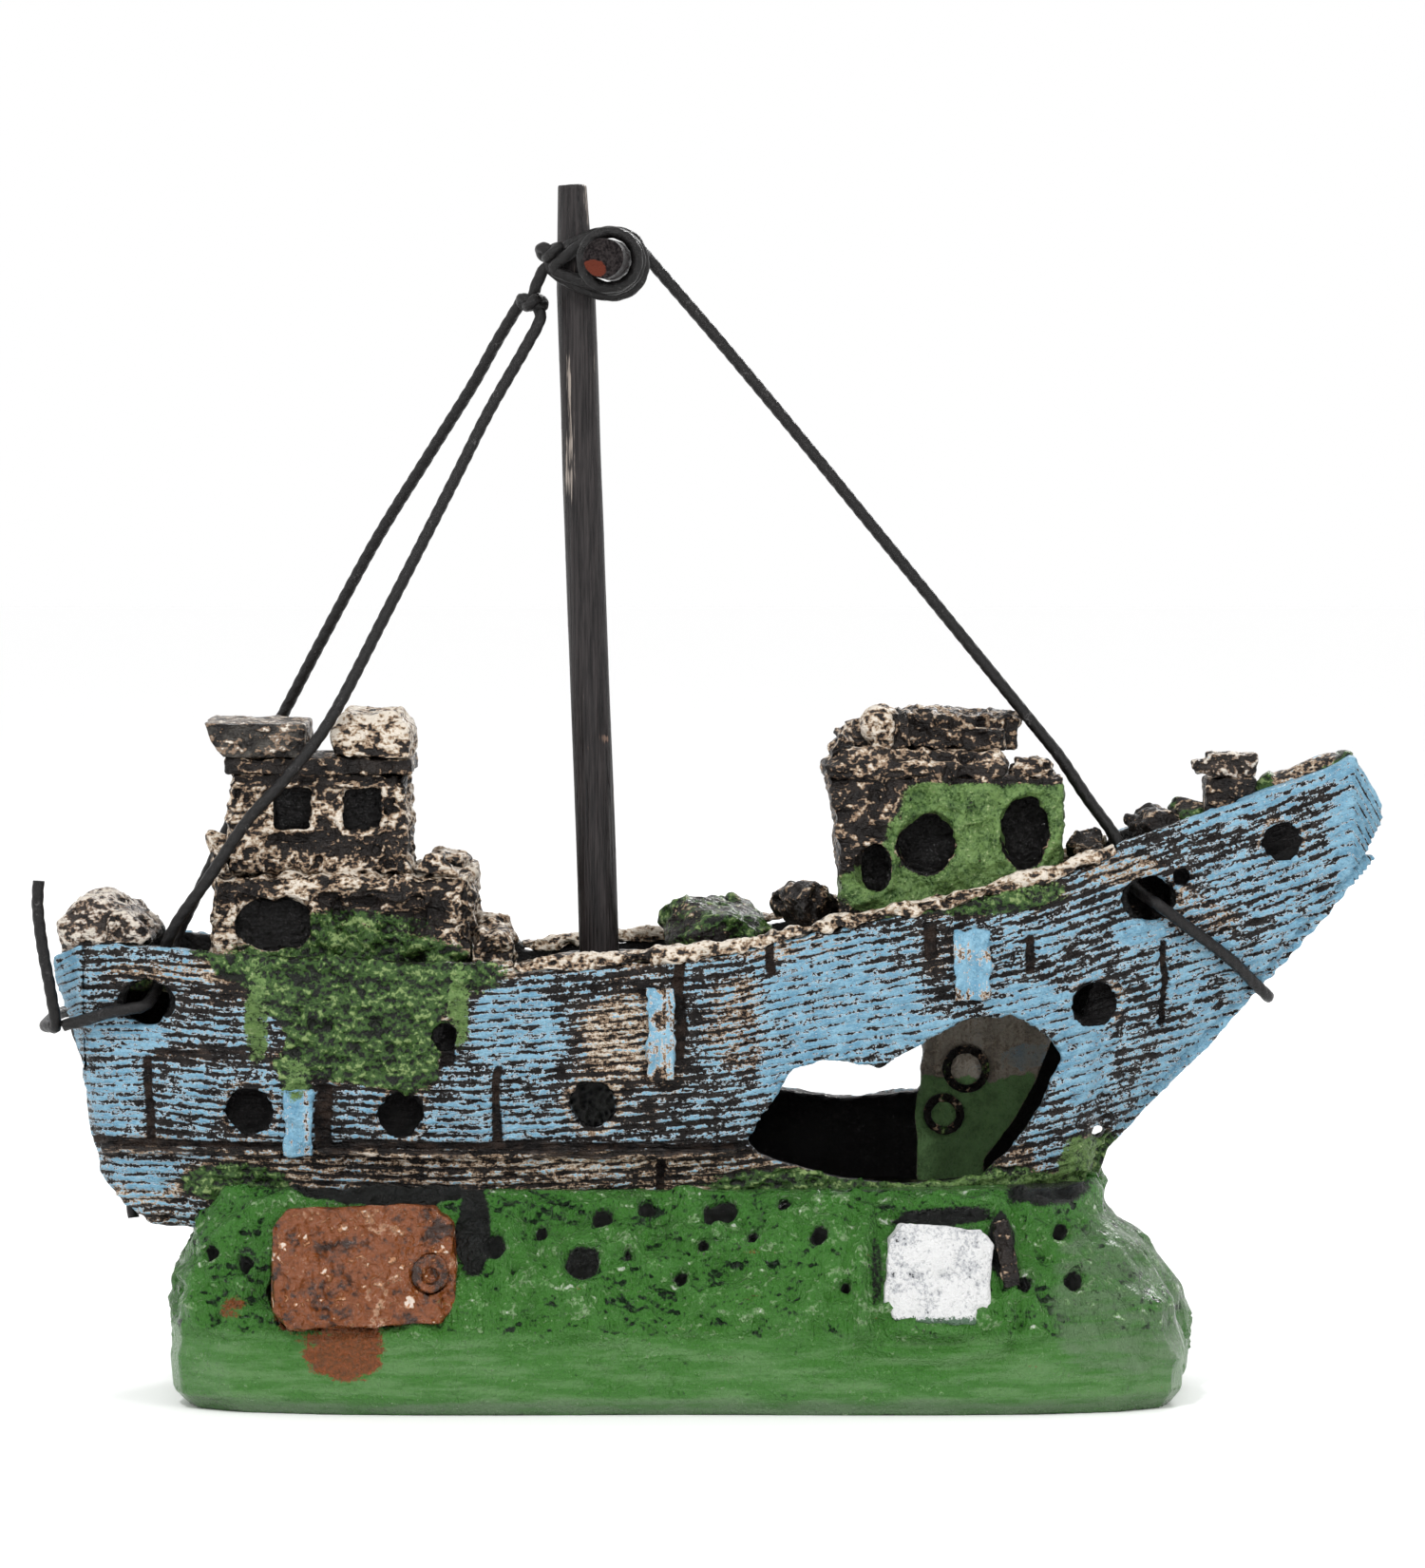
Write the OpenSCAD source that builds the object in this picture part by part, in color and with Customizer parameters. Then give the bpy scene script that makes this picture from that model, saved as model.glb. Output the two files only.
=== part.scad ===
// Bubbling shipwreck ornament for an aquarium: a cast wreck on a reef, with a wooden mast and yard,
// cord rigging, and an air stone in the hold.
// Millimetres. X runs from the stern to the bow, Y to port and Z up. The origin is on the flat
// underside of the reef, below the middle of the hull.

/* [Hull] */
// Thickness of the cast hull walls
wall = 2.4; // [2:0.1:2.8]
// Thickness of the hull's floor in the hold
floor_t = 3; // [2.5:0.1:3.4]
// How far the decks lie below the sheer
deck_drop = 2; // [1.6:0.1:2.4]
// Thickness of the decks
deck_t = 2.4; // [2:0.1:2.8]
// How far fenders and wales stand out from the planking
proud = 0.8; // [0.5:0.1:1]
// Depth of the gunwale strip along the waist
gunwale_h = 1.2; // [1:0.1:1.5]

/* [Reef] */
// Height of the reef's shoulders round the hull
reef_h = 21; // [20:0.5:22]
// Half width of the reef at its foot
reef_half = 24; // [22:0.5:25]

/* [Mast and yard] */
// Height of the masthead
mast_top = 117.6; // [110:0.1:125]
// Radius of the mast at its foot
mast_foot_r = 1.95; // [1.8:0.05:2.2]
// Radius of the mast at its head
mast_head_r = 1.4; // [1.3:0.05:1.7]
// Lean of the mast towards the stern, in degrees
mast_lean = 2; // [0:0.1:3]
// Length of the yard
yard_len = 23; // [20:1:30]
// Radius of the yard
yard_r = 1.95; // [1.7:0.05:2]

/* [Rigging] */
// Diameter of the waxed cord
cord_d = 1.2; // [0.9:0.1:1.3]

/* [Air line] */
// Outer radius of the spigot that the air hose pushes onto
spigot_r = 2.2; // [2:0.05:2.5]
// Free length of the spigot behind the reef
spigot_len = 8; // [6:0.5:10]
// Radius of the air stone
stone_r = 4.5; // [4:0.1:5]
// Length of the air stone
stone_len = 13; // [11:0.5:14]

/* [Hidden] */
$fn = 48;

fit = 0.03;         // gap left between glued castings
big = 200;          // larger than the whole ornament
cord_r = cord_d / 2;
knot_swell = 1.6;   // how much thicker the cord is at a knot

// Lines of the hull: height of the keel and of the sheer, and half breadths at both, along X
KEEL = [[-64.3, 40], [-63, 36.5], [-62, 33], [-61, 26], [-60, 22], [-58, 19.2], [-55, 17], [34, 17],
        [35.5, 19], [36.5, 24], [41, 29], [45, 33], [52, 40.5], [58, 47], [62.6, 52.4], [64.2, 56]];
SHEER = [[-64.3, 43], [-62, 44.2], [-55, 44.4], [-48, 43.6], [-24, 42.8], [-10, 44], [0, 44.8], [13, 47.8],
         [22, 49.4], [31, 51.6], [38, 54], [45, 56.3], [52, 58.5], [58, 60.6], [61.4, 62.2], [64.2, 57.2]];
HALF_SHEER = [[-64.3, 10.5], [-62, 12.4], [-55, 14.6], [-40, 17], [-20, 18.5], [0, 18.5], [15, 17],
              [30, 14], [45, 9], [55, 5.4], [61, 3.4], [64.2, 2.4]];
HALF_KEEL = [[-64.3, 7], [-60, 7.5], [-55, 8.5], [-40, 11.5], [-20, 13], [0, 13], [15, 11],
             [30, 6], [36, 2.8], [45, 2], [64.2, 1.8]];
LEVELS = [0, 0.12, 0.3, 0.55, 0.8, 1];
STATIONS = [-64.3, -63, -62, -61, -60, -58, -55, -48, -40, -30, -22, -12, 0, 10, 16, 22, 28, 32,
            34, 35.5, 36.5, 38, 41, 45, 50, 55, 58, 61.4, 62.6, 64.2];
HOLD_STATIONS = [-60, -58, -55, -48, -40, -30, -22, -12, 0, 10, 16, 22, 28, 32, 34, 36.5, 41, 45, 50];

// Outlines in X and Z
BREACH = [[2.3, 25.8], [5, 30], [6.6, 32.7], [10, 33.6], [15, 32.8], [20, 35.4], [23.5, 37.4], [28, 37.7],
          [31.7, 35.4], [32.9, 33.4], [30.8, 28.5], [27.6, 24], [25, 21.8], [17.5, 21.2], [11, 22],
          [3.7, 24.2]];
FAR_BREACH = [[2.4, 30], [5, 35], [12, 37], [18, 36], [20, 33], [19.6, 28.6], [12, 27.8], [5, 28.6]];
// Portholes of the starboard side: X, Z, radius and depth
PORTHOLES = [[-45.5, 28.5, 2.2, 1.5], [-30.8, 28.3, 2.1, 1.5], [-12.4, 29.3, 2.2, 4],
             [35.9, 38.6, 2.1, 1.8], [54.3, 54, 1.9, 0.9], [44.4, 50.6, 0.9, 1.6], [-26.7, 36, 1.2, 1.4]];
RINGS = [[24.1, 30.8, 2.3], [21.9, 26.4, 2]];
HAWSE = [41.4, 48.7, 2.2];
STERN_HOLE = [-55.2, 38.9, 2.2];

mast_foot = [-11.93, 0, 43];
mast_heel = 9;      // depth of the mast below its point on the deck line
socket_floor = 1.4;
mast_neck = 64.6;   // length of the mast up to where it is whittled thinner
mast_neck_r = 1.9;
yard_mid = [-10.35, 0, 110.2];
yard_dir = [-0.07, -0.9975, 0.01];
yard_aft = 8;       // how far the yard reaches on the port side of the mast
inlet = [-20, 0, 11];
riser_y = 6;
stone_z = 26.5;

function keel(x) = lookup(x, KEEL);
function sheer(x) = lookup(x, SHEER);
function swell(t) = pow(sin(90 * min(1, max(0, t))), 0.8);
function half_at(x, z) =
  let (low = lookup(x, HALF_KEEL), top = lookup(x, HALF_SHEER))
  low + (top - low) * swell((z - keel(x)) / (sheer(x) - keel(x)));

// One section of the hull at x: up the starboard side and down the port side
function section(x, grow, lift, rise) =
  let (
    heights = [for (t = LEVELS) (keel(x) + lift) * (1 - t) + (sheer(x) + rise) * t],
    side = [for (z = heights) [x, max(0.4, half_at(x, z) + grow), z]],
    last = len(side) - 1
  )
  concat([for (p = side) [p.x, -p.y, p.z]], [for (i = [last:-1:0]) side[i]]);

// A closed solid through a list of rings that all have n points
module skin(rings) {
  n = len(rings[0]);
  m = len(rings);
  points = [for (r = rings) each r];
  sides = [for (i = [0:m - 2], j = [0:n - 1]) each
    let (k = (j + 1) % n, a = i * n + j, b = i * n + k, c = (i + 1) * n + k, d = (i + 1) * n + j)
    [[a, b, c], [a, c, d]]];
  near = [for (j = [n - 1:-1:0]) j];
  far = [for (j = [0:n - 1]) (m - 1) * n + j];
  polyhedron(points, concat(sides, [near, far]), convexity = 8);
}

module envelope(grow = 0) {
  skin([for (x = STATIONS) section(x, grow, -max(0, grow), 0)]);
}

module hold(shrink = 0) {
  skin([for (x = HOLD_STATIONS) section(x, -wall - shrink, floor_t + shrink, 8)]);
}

// An outline in X and Z, pushed through from y0 to y1
module across(outline, y0, y1) {
  translate([0, y1, 0]) rotate([90, 0, 0]) linear_extrude(y1 - y0) polygon(outline);
}

// Everything above a line that lies drop below the sheer, between x0 and x1
module above_sheer(x0, x1, drop) {
  inner = [for (s = SHEER) if (s[0] > x0 && s[0] < x1) [s[0], s[1] - drop]];
  line = concat([[x0, sheer(x0) - drop]], inner, [[x1, sheer(x1) - drop]]);
  across(concat(line, [[x1, 100], [x0, 100]]), -40, 40);
}

module below_deck() {
  line = [for (s = SHEER) [s[0], s[1] - deck_drop + fit]];
  across(concat([[-64.3, 0]], line, [[64.2, 0]]), -40, 40);
}

module box(low, high) {
  translate(low) cube(high - low);
}

// A block whose walls lean in (positive batter) or out (negative batter) as they rise
module battered(low, high, batter) {
  slice = 0.1;
  hull() {
    box(low, [high.x, high.y, low.z + slice]);
    box([low.x + batter, low.y + batter, high.z - slice], [high.x - batter, high.y - batter, high.z]);
  }
}

// A boulder: the hull of scattered points on an ellipsoid
module rock(centre, radii, seed, n = 18) {
  turn = rands(0, 360, n, seed);
  rise = rands(-0.95, 0.95, n, seed + 1);
  reach = rands(0.86, 1, n, seed + 2);
  translate(centre) hull() {
    for (i = [0:n - 1]) {
      level = sqrt(1 - rise[i] * rise[i]);
      translate([radii.x * level * cos(turn[i]), radii.y * level * sin(turn[i]), radii.z * rise[i]]
                * reach[i])
        cube(0.2, center = true);
    }
  }
}

function unit(v) = v / norm(v);
function crossed(t) = unit(cross(t, abs(t.z) < 0.9 ? [0, 0, 1] : [1, 0, 0]));

// A cord of 8 sides swept along a route, swollen where it is knotted
module cord(route, knots = []) {
  last = len(route) - 1;
  skin([for (i = [0:last])
    let (
      t = unit(route[min(last, i + 1)] - route[max(0, i - 1)]),
      u = crossed(t),
      v = cross(t, u),
      r = cord_r * (len(search(i, knots)) > 0 ? knot_swell : 1)
    )
    [for (a = [0:45:315]) route[i] + r * (cos(a) * u + sin(a) * v)]]);
}

function mirrored(route) = [for (p = route) [p.x, -p.y, p.z]];
function reversed(route) = [for (i = [len(route) - 1:-1:0]) route[i]];

// ---- Reef and what lies on it ----

// Foot outline of the reef at one height: a long rounded block with a wavy edge
function reef_ring(z, x0, x1, half) =
  let (mid = (x0 + x1) / 2, long = (x1 - x0) / 2)
  [for (a = [0:9:351])
    let (
      c = cos(a), s = sin(a),
      square = 1 / pow(pow(abs(c), 5) + pow(abs(s), 5), 0.2),
      wave = 1 + 0.012 * sin(5 * a + 4 * z) + 0.008 * sin(9 * a)
    )
    [mid + long * c * square * wave, half * s * square * wave, z]];

module reef_body() {
  skin([
    reef_ring(0, -51.8, 43.6, reef_half - 1.6),
    reef_ring(1.6, -53.2, 44.8, reef_half - 0.4),
    reef_ring(5, -53.4, 45, reef_half - 0.5),
    reef_ring(10, -52.2, 43.6, reef_half - 1.4),
    reef_ring(14, -51.2, 40.6, reef_half - 3),
    reef_ring(18, -49.6, 37, reef_half - 5),
    reef_ring(reef_h, -47.5, 35.6, reef_half - 7.5)
  ]);
}

module reef_base() {
  color("forestgreen") difference() {
    reef_body();
    envelope(fit);
    brown_crate_block(fit);
    silver_crate_block(fit);
    crate_bar_block(fit);
    stem_strip(0.4);
    air_pipe_path();
    hose_recess();
  }
}

module brown_crate_block(grow = 0) {
  translate([-34.2, -19.6, 13.8]) rotate([-8, -2, 0]) hull() {
    cube([17.4 + 2 * grow, 7 + 2 * grow, 8 + 2 * grow], center = true);
    cube([14.4 + 2 * grow, 8 + 2 * grow, 11.4 + 2 * grow], center = true);
  }
}

module brown_crate() {
  color("sienna") difference() {
    brown_crate_block();
    envelope(fit);
    brown_crate_hasp_block(fit);
  }
}

module brown_crate_hasp_block(grow = 0) {
  translate([-27.8, -23.1, 13.6]) rotate([82, 0, 0])
    cylinder(h = 1.8 + 2 * grow, r = 1.7 + grow, center = true, $fn = 32);
}

module brown_crate_hasp() {
  color("saddlebrown") brown_crate_hasp_block();
}

module silver_crate_block(grow = 0) {
  translate([20.4, -20, 13]) rotate([-10, 5, 4]) hull() {
    cube([10 + 2 * grow, 5.6 + 2 * grow, 6.4 + 2 * grow], center = true);
    cube([7.6 + 2 * grow, 6.4 + 2 * grow, 9.4 + 2 * grow], center = true);
  }
}

module silver_crate() {
  color("gainsboro") silver_crate_block();
}

module crate_bar_block(grow = 0) {
  translate([27.2, -20.6, 15.2]) rotate([-10, -10, 0])
    cube([1.6 + 2 * grow, 3 + 2 * grow, 6.4 + 2 * grow], center = true);
}

module crate_bar() {
  color("dimgray") crate_bar_block();
}

// ---- Hull ----

module hull_cuts() {
  above_sheer(-20, 38, gunwale_h);
  stem_strip(fit);
  box([-big, -big, 0], [-61.5, big, 60]);
  // gap between the foot of the stem and the planking
  translate([36.5, 0, 25.7]) rotate([90, 0, 0]) cylinder(h = big, r = 0.8, center = true, $fn = 16);
}

module rope_holes(side) {
  for (h = [HAWSE, STERN_HOLE])
    translate([h[0], 0, h[1]]) rotate([side * 90, 0, 0]) cylinder(h = big, r = h[2], $fn = 24);
}

module porthole_cuts() {
  for (p = PORTHOLES) {
    outer = half_at(p[0], p[1]);
    translate([p[0], -outer + p[3], p[1]]) rotate([90, 0, 0]) cylinder(h = 12, r = p[2], $fn = 24);
  }
}

module hull_starboard() {
  color("skyblue") difference() {
    envelope();
    hold();
    box([-big, 0, -big], [big, big, big]);
    hull_cuts();
    across(BREACH, -40, 0);
    porthole_cuts();
    rope_holes(1);
  }
}

module hull_port() {
  color("skyblue") difference() {
    envelope();
    hold();
    box([-big, -big, -big], [big, fit, big]);
    hull_cuts();
    across(FAR_BREACH, 0, 40);
    rope_holes(-1);
    air_pipe_path();
  }
}

// The raked timber at the bow, proud of the planking by one proud
module stem_strip(grow = 0) {
  outer = [[63.6, 52.2], [58.6, 46.2], [52.6, 39.6], [45.6, 32], [41.6, 28], [37.6, 23.8], [36.6, 20.4],
           [37.4, 16]];
  inner = [[33.6, 16], [34.4, 21.6], [36.2, 25.6], [39.8, 29.6], [43.6, 33.6], [50.6, 41], [56.6, 47.6],
           [61.2, 53.4]];
  across(concat(outer, inner), -1.4 - grow, 1.4 + grow);
}

module stem_post() {
  color("dimgray") difference() {
    stem_strip();
    translate([36.5, 0, 25.7]) rotate([90, 0, 0]) cylinder(h = big, r = 0.8, center = true, $fn = 16);
  }
}

module transom() {
  color("lightsteelblue") intersection() {
    envelope();
    box([-big, -big, 0], [-61.5 - fit, big, big]);
  }
}

module stern_rail() {
  color("tan") difference() {
    hull() {
      translate([-60.4, 0, 45.2]) rotate([90, 0, 0]) cylinder(h = 18, r = 3.6, center = true);
      translate([-57, 0, 44.6]) rotate([90, 0, 0]) cylinder(h = 22, r = 2, center = true);
    }
    envelope(fit);
    below_deck();
  }
}

module gunwale(side) {
  intersection() {
    difference() {
      envelope();
      hold();
    }
    above_sheer(-20 + fit, 38 - fit, gunwale_h - fit);
    box([-big, side > 0 ? 0 : -big, 0], [big, side > 0 ? big : 0, big]);
  }
}

module gunwale_starboard() {
  color("tan") gunwale(-1);
}

module gunwale_port() {
  color("tan") gunwale(1);
}

// A strip of timber fixed on the planking, between two heights
module planted(x0, x1, z0, z1, side) {
  intersection() {
    difference() {
      envelope(proud);
      envelope(fit);
    }
    box([x0, side > 0 ? 0 : -big, z0], [x1, side > 0 ? big : 0, z1]);
  }
}

module wale_starboard() {
  color("dimgray") difference() {
    planted(-60, 1.5, 24, 25, -1);
    planted(-42.4, -38.9, 24, 31, -1);
  }
}

module wale_port() {
  color("dimgray") planted(-60, 34, 24, 25, 1);
}

module fender_aft() {
  color("lightblue") planted(-42, -39.3, 24.2, 30.6, -1);
}

module fender_waist() {
  color("lightblue") planted(-7.2, -4.6, 31.7, 40.6, -1);
}

module fender_fore() {
  color("lightblue") planted(22.4, 25.8, 39.1, 46, -1);
}

// ---- Decks ----

module deck(x0, x1) {
  intersection() {
    difference() {
      above_sheer(x0, x1, deck_drop + deck_t);
      above_sheer(x0 - 1, x1 + 1, deck_drop);
    }
    hold(fit);
  }
}

// Holes through which the stays go down into the hull
module stay_hole(p, r = 1.3) {
  translate(p) cylinder(h = 14, r = r, center = true, $fn = 24);
}

module aft_deck() {
  color("dimgray") difference() {
    deck(-59, -22);
    for (side = [-1, 1]) stay_hole([-54, side * 10.8, 41], 1.6);
  }
}

module main_deck() {
  color("dimgray") difference() {
    deck(-22 + fit, 10);
    mast_line() translate([0, 0, -20]) cylinder(h = 40, r = 4.2 + fit);
  }
}

module fore_deck() {
  color("dimgray") difference() {
    deck(10 + fit, 49);
    for (side = [-1, 1]) stay_hole([39.2, side * 5.7, 52], 2.3);
  }
}

// Webs of resin on the centreline, between the rope holes of the two sides
module web(x0, x1) {
  difference() {
    intersection() {
      hold(fit);
      box([x0, -0.6, 0], [x1, 0.6, 60]);
    }
    above_sheer(x0 - 1, x1 + 1, deck_drop + deck_t + fit);
  }
}

module stern_web() {
  color("dimgray") web(-61, -52.4);
}

module bow_web() {
  color("dimgray") web(39, 47.5);
}

// Rings of the far side's portholes, standing out inside the hold
module hold_rings() {
  color("olivedrab") difference() {
    for (r = RINGS) translate([r[0], 0, r[1]]) rotate([-90, 0, 0]) difference() {
      cylinder(h = 16, r = r[2]);
      translate([0, 0, -1]) cylinder(h = 18, r = r[2] - 0.8);
    }
    difference() {
      box([10, -1, 10], [40, 30, 60]);
      hold(fit);
    }
    skin([for (x = HOLD_STATIONS) section(x, -wall - 1, floor_t, 8)]);
  }
}

// ---- Aft castle ----

module window(x, y, z, w, h, depth) {
  box([x - w / 2, y - depth, z - h / 2], [x + w / 2, y + depth, z + h / 2]);
}

module aft_cabin() {
  color("peru") difference() {
    battered([-49.4, -11.4, 38], [-23.8, 11.4, 51], 0.5);
    below_deck();
    for (side = [-1, 1]) {
      window(-43.1, side * 11, 46.4, 7.2, 4.8, 1.4);
      window(-33.2, side * 11, 46.8, 8.4, 3.6, 0.9);
    }
  }
}

module wheelhouse() {
  color("peru") difference() {
    battered([-47.8, -8.6, 51 + fit], [-30.2, 8.6, 60.6], 0.4);
    for (x = [-41.4, -34.8]) for (side = [-1, 1]) window(x, side * 8.4, 57.4, 3.6, 4, 1.5);
    box([-31.6, -1.8, 51], [-29, 1.8, 58.6]);
  }
}

module wheelhouse_eave() {
  color("dimgray") box([-48, -8.8, 60.6 + fit], [-30, 8.8, 62.2]);
}

module roof_slab_aft() {
  color("gray") across([[-48.2, 62.2 + fit], [-40.2, 62.2 + fit], [-40.2, 65.5], [-50, 65.7],
    [-49.6, 64.4]], -9.6, 9.6);
}

module roof_slab_fore() {
  color("tan") hull() {
    box([-37.6, -9.4, 62.2 + fit], [-30, 9.4, 64.8]);
    box([-36.4, -8, 64.8], [-31.4, 8, 66.5]);
  }
}

module corner_post() {
  color("burlywood") intersection() {
    rock([-48.6, -8.4, 52.6], [2.1, 2.1, 2.7], 11);
    box([-60, -20, 51 + fit], [-47.8 - fit, 0, 60]);
  }
}

module broken_bulwark() {
  color("tan") difference() {
    union() {
      hull() {
        box([-30, -11, 51 + fit], [-25.6, -8.6, 51.2]);
        box([-28.6, -10.6, 51.6], [-26.8, -9.2, 53]);
      }
      rock([-26.8, 4, 51.4], [2.6, 5, 1.6], 21);
    }
    box([-60, -20, 40], [0, 20, 51 + fit]);
  }
}

module aft_rubble() {
  color("burlywood") difference() {
    union() {
      rock([-22.4, -8.6, 43.4], [2.3, 4, 4.4], 31);
      rock([-22.2, 0.5, 42.6], [2.6, 4, 3.8], 33);
      rock([-22.4, 8.4, 43.2], [2.4, 3.6, 4], 35);
    }
    below_deck();
    box([-60, -20, 30], [-23.8 + fit, 20, 60]);
  }
}

// ---- Fore castle ----

module fore_cabin_holes() {
  translate([19.8, -7.4, 54.2]) rotate([90, 0, 0]) cylinder(h = 6, r = 2.9);
  translate([29.2, -7.4, 55.2]) rotate([90, 0, 0]) linear_extrude(6) scale([1, 1.5]) circle(2.4);
  translate([14.6, -7.4, 51.6]) rotate([90, 0, 0]) linear_extrude(6) scale([1, 1.6]) circle(1.6);
  for (x = [17, 26]) translate([x, 7.4, 55]) rotate([-90, 0, 0]) cylinder(h = 6, r = 2.6);
}

module fore_cabin() {
  color("olivedrab") difference() {
    across([[12.2, 40], [32.6, 40], [32.8, 60.4], [10.2, 60.4], [11, 56]], -10, 10);
    below_deck();
    fore_cabin_holes();
  }
}

module fore_cabin_roof() {
  color("dimgray") hull() {
    box([10, -10.4, 60.4 + fit], [27.4, 10.4, 61.6]);
    box([12, -9, 62.4], [26.6, 9, 63]);
  }
}

module roof_planks() {
  color("tan") difference() {
    union() {
      for (i = [0:5]) translate([18.4 + 1.75 * i, 0.4 * i, 64.9 - 0.1 * i])
        rotate([0, -10 + 5 * i, 4 * i - 10])
        cube([1.9, 15 - 1.2 * i, 3.4], center = true);
      box([17.4, -6.4, 62], [27.4, 6.4, 65]);
    }
    box([0, -20, 50], [40, 20, 63 + fit]);
    skull_block(fit);
  }
}

module roof_rubble() {
  color("burlywood") difference() {
    union() {
      rock([11.8, -6.6, 62.4], [2, 2.8, 2.4], 41);
      rock([14.2, -1, 64], [3, 5, 2.6], 43);
      rock([13.4, 5.8, 63.2], [2.6, 3.4, 2.6], 45);
    }
    fore_cabin_roof();
    box([0, -20, 40], [40, 20, 60.4 + fit]);
    box([17, -20, 40], [40, 20, 80]);
    skull_block(fit);
  }
}

module skull_block(grow = 0) {
  translate([15.4, -5.4, 65.3]) {
    sphere(r = 2.1 + grow);
    translate([0.3, -0.6, -1.5]) cylinder(h = 1.6, r = 1.3 + grow, center = true);
  }
}

module skull() {
  color("tan") difference() {
    skull_block();
    fore_cabin_roof();
    for (x = [-0.5, 1]) translate([15.4 + x, -7.5, 65.1]) sphere(r = 0.55);
  }
}

module corner_stub() {
  color("burlywood") difference() {
    union() {
      rock([30.4, -6.4, 60.6], [2.6, 3.4, 2.3], 51);
      rock([30.2, 2, 60.6], [2.5, 6, 1.5], 53);
    }
    box([0, -20, 40], [60, 20, 60.4 + fit]);
    box([0, -20, 40], [27.5, 20, 80]);
    box([32, -20, 40], [60, 20, 80]);
  }
}

// ---- Loose pieces on the decks ----

module on_deck() {
  difference() {
    intersection() {
      children();
      hold(fit);
    }
    below_deck();
  }
}

module deck_boulder() {
  color("darkolivegreen") on_deck() rock([0, 3.6, 44.4], [6.6, 9, 5], 61, 26);
}

module deck_debris() {
  color("dimgray") difference() {
    on_deck() rock([8, 2, 46.6], [3.6, 8.6, 3.6], 63);
    deck_boulder();
    fore_cabin();
  }
}

module bow_debris() {
  color("dimgray") difference() {
    on_deck() {
      rock([42.2, 0, 54.6], [3.2, 5.4, 3], 71);
      rock([35.6, 0, 52.6], [2.2, 6, 2.6], 73);
    }
    fore_cabin();
    for (side = [-1, 1]) stay_hole([39, side * 5.4, 54], 2.3);
  }
}

module bow_boulder() {
  color("darkolivegreen") difference() {
    on_deck() rock([45.8, 1.2, 56], [2.4, 4, 3.4], 75);
    bow_debris();
    bollard_base();
  }
}

module bow_moss() {
  color("olivedrab") difference() {
    intersection() {
      hull() {
        translate([53.4, 0, 58.6]) sphere(r = 1.6);
        translate([60.2, 0, 60.6]) sphere(r = 2);
      }
      box([40, -5, 50], [61.4, 5, 70]);
    }
    envelope(fit);
    bollard_base();
  }
}

module bollard_base() {
  color("dimgray") difference() {
    box([47, -2.8, 52], [52, 2.8, 60]);
    difference() {
      envelope(fit);
      hold(fit);
    }
    below_deck();
  }
}

module bollard_cap() {
  color("gainsboro") {
    box([47.2, -2.5, 60 + fit], [52, 2.5, 62.4]);
    rock([46.8, -1.6, 61.2], [1.2, 1.2, 1], 81);
  }
}

// ---- Mast, yard and rigging ----

module mast_line() {
  translate(mast_foot) rotate([0, -mast_lean, 0]) children();
}

module mast_step() {
  color("dimgray") mast_line() difference() {
    translate([0, 0, -mast_heel - socket_floor]) cylinder(h = mast_heel + socket_floor, r = 4.2);
    translate([0, 0, -mast_heel]) cylinder(h = mast_heel + 1, r = mast_foot_r + fit);
  }
}

module mast() {
  above = (mast_top - mast_foot.z) / cos(mast_lean);
  color("#3a302c") mast_line() {
    translate([0, 0, -mast_heel + fit]) cylinder(h = mast_heel, r = mast_foot_r);
    cylinder(h = mast_neck, r1 = mast_foot_r, r2 = mast_neck_r);
    translate([0, 0, mast_neck]) cylinder(h = above - mast_neck, r1 = mast_neck_r, r2 = mast_head_r);
  }
}

module yard_line() {
  tilt = acos(yard_dir.z / norm(yard_dir));
  turn = atan2(yard_dir.y, yard_dir.x);
  translate(yard_mid) rotate([0, tilt, turn]) children();
}

module yard() {
  color("#4a3328") yard_line() translate([0, 0, -yard_aft]) cylinder(h = yard_len, r = yard_r);
}

// The two turns of the lashing, which go round the yard and across the front of the mast
OUTER_TURN = [[-16.6, -2.3, 109.6], [-15.9, -2.6, 110.9], [-14.4, -2.8, 111.9], [-12.4, -3.2, 112.75],
              [-10.4, -3.6, 113], [-8.6, -3.8, 112.4], [-7.75, -3.8, 110.9], [-7.6, -3.8, 109.3],
              [-8.4, -3.7, 107.7], [-10, -3.5, 106.9], [-11.9, -3.3, 107], [-13.6, -2.9, 107.6],
              [-15.4, -2.7, 108.5]];
INNER_TURN = [[-16.2, -3.8, 109.4], [-15, -4.3, 110.7], [-13.4, -4.7, 111.9], [-11.8, -5, 112.75],
              [-10.2, -5.2, 112.9], [-8.8, -5.3, 112.2], [-8, -5.3, 110.9], [-8, -5.3, 109.5],
              [-8.8, -5.2, 108.2], [-10.3, -5, 107.45], [-12, -4.7, 107.75], [-14, -4.2, 108.4]];

module closed_cord(route) {
  n = len(route);
  points = [for (i = [0:n - 1]) each
    let (
      t = unit(route[(i + 1) % n] - route[(i + n - 1) % n]),
      u = unit(cross(t, [0.02, 1, 0.01])),
      v = cross(t, u)
    )
    [for (a = [0:45:315]) route[i] + cord_r * (cos(a) * u + sin(a) * v)]];
  polyhedron(points, [for (i = [0:n - 1], j = [0:7]) each
    let (k = (j + 1) % 8, m = (i + 1) % n)
    [[i * 8 + j, i * 8 + k, m * 8 + k], [i * 8 + j, m * 8 + k, m * 8 + j]]], convexity = 6);
}

module lashing_inner() {
  color("#222222") closed_cord(INNER_TURN);
}

module lashing_outer() {
  color("#222222") closed_cord(OUTER_TURN);
}

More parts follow.
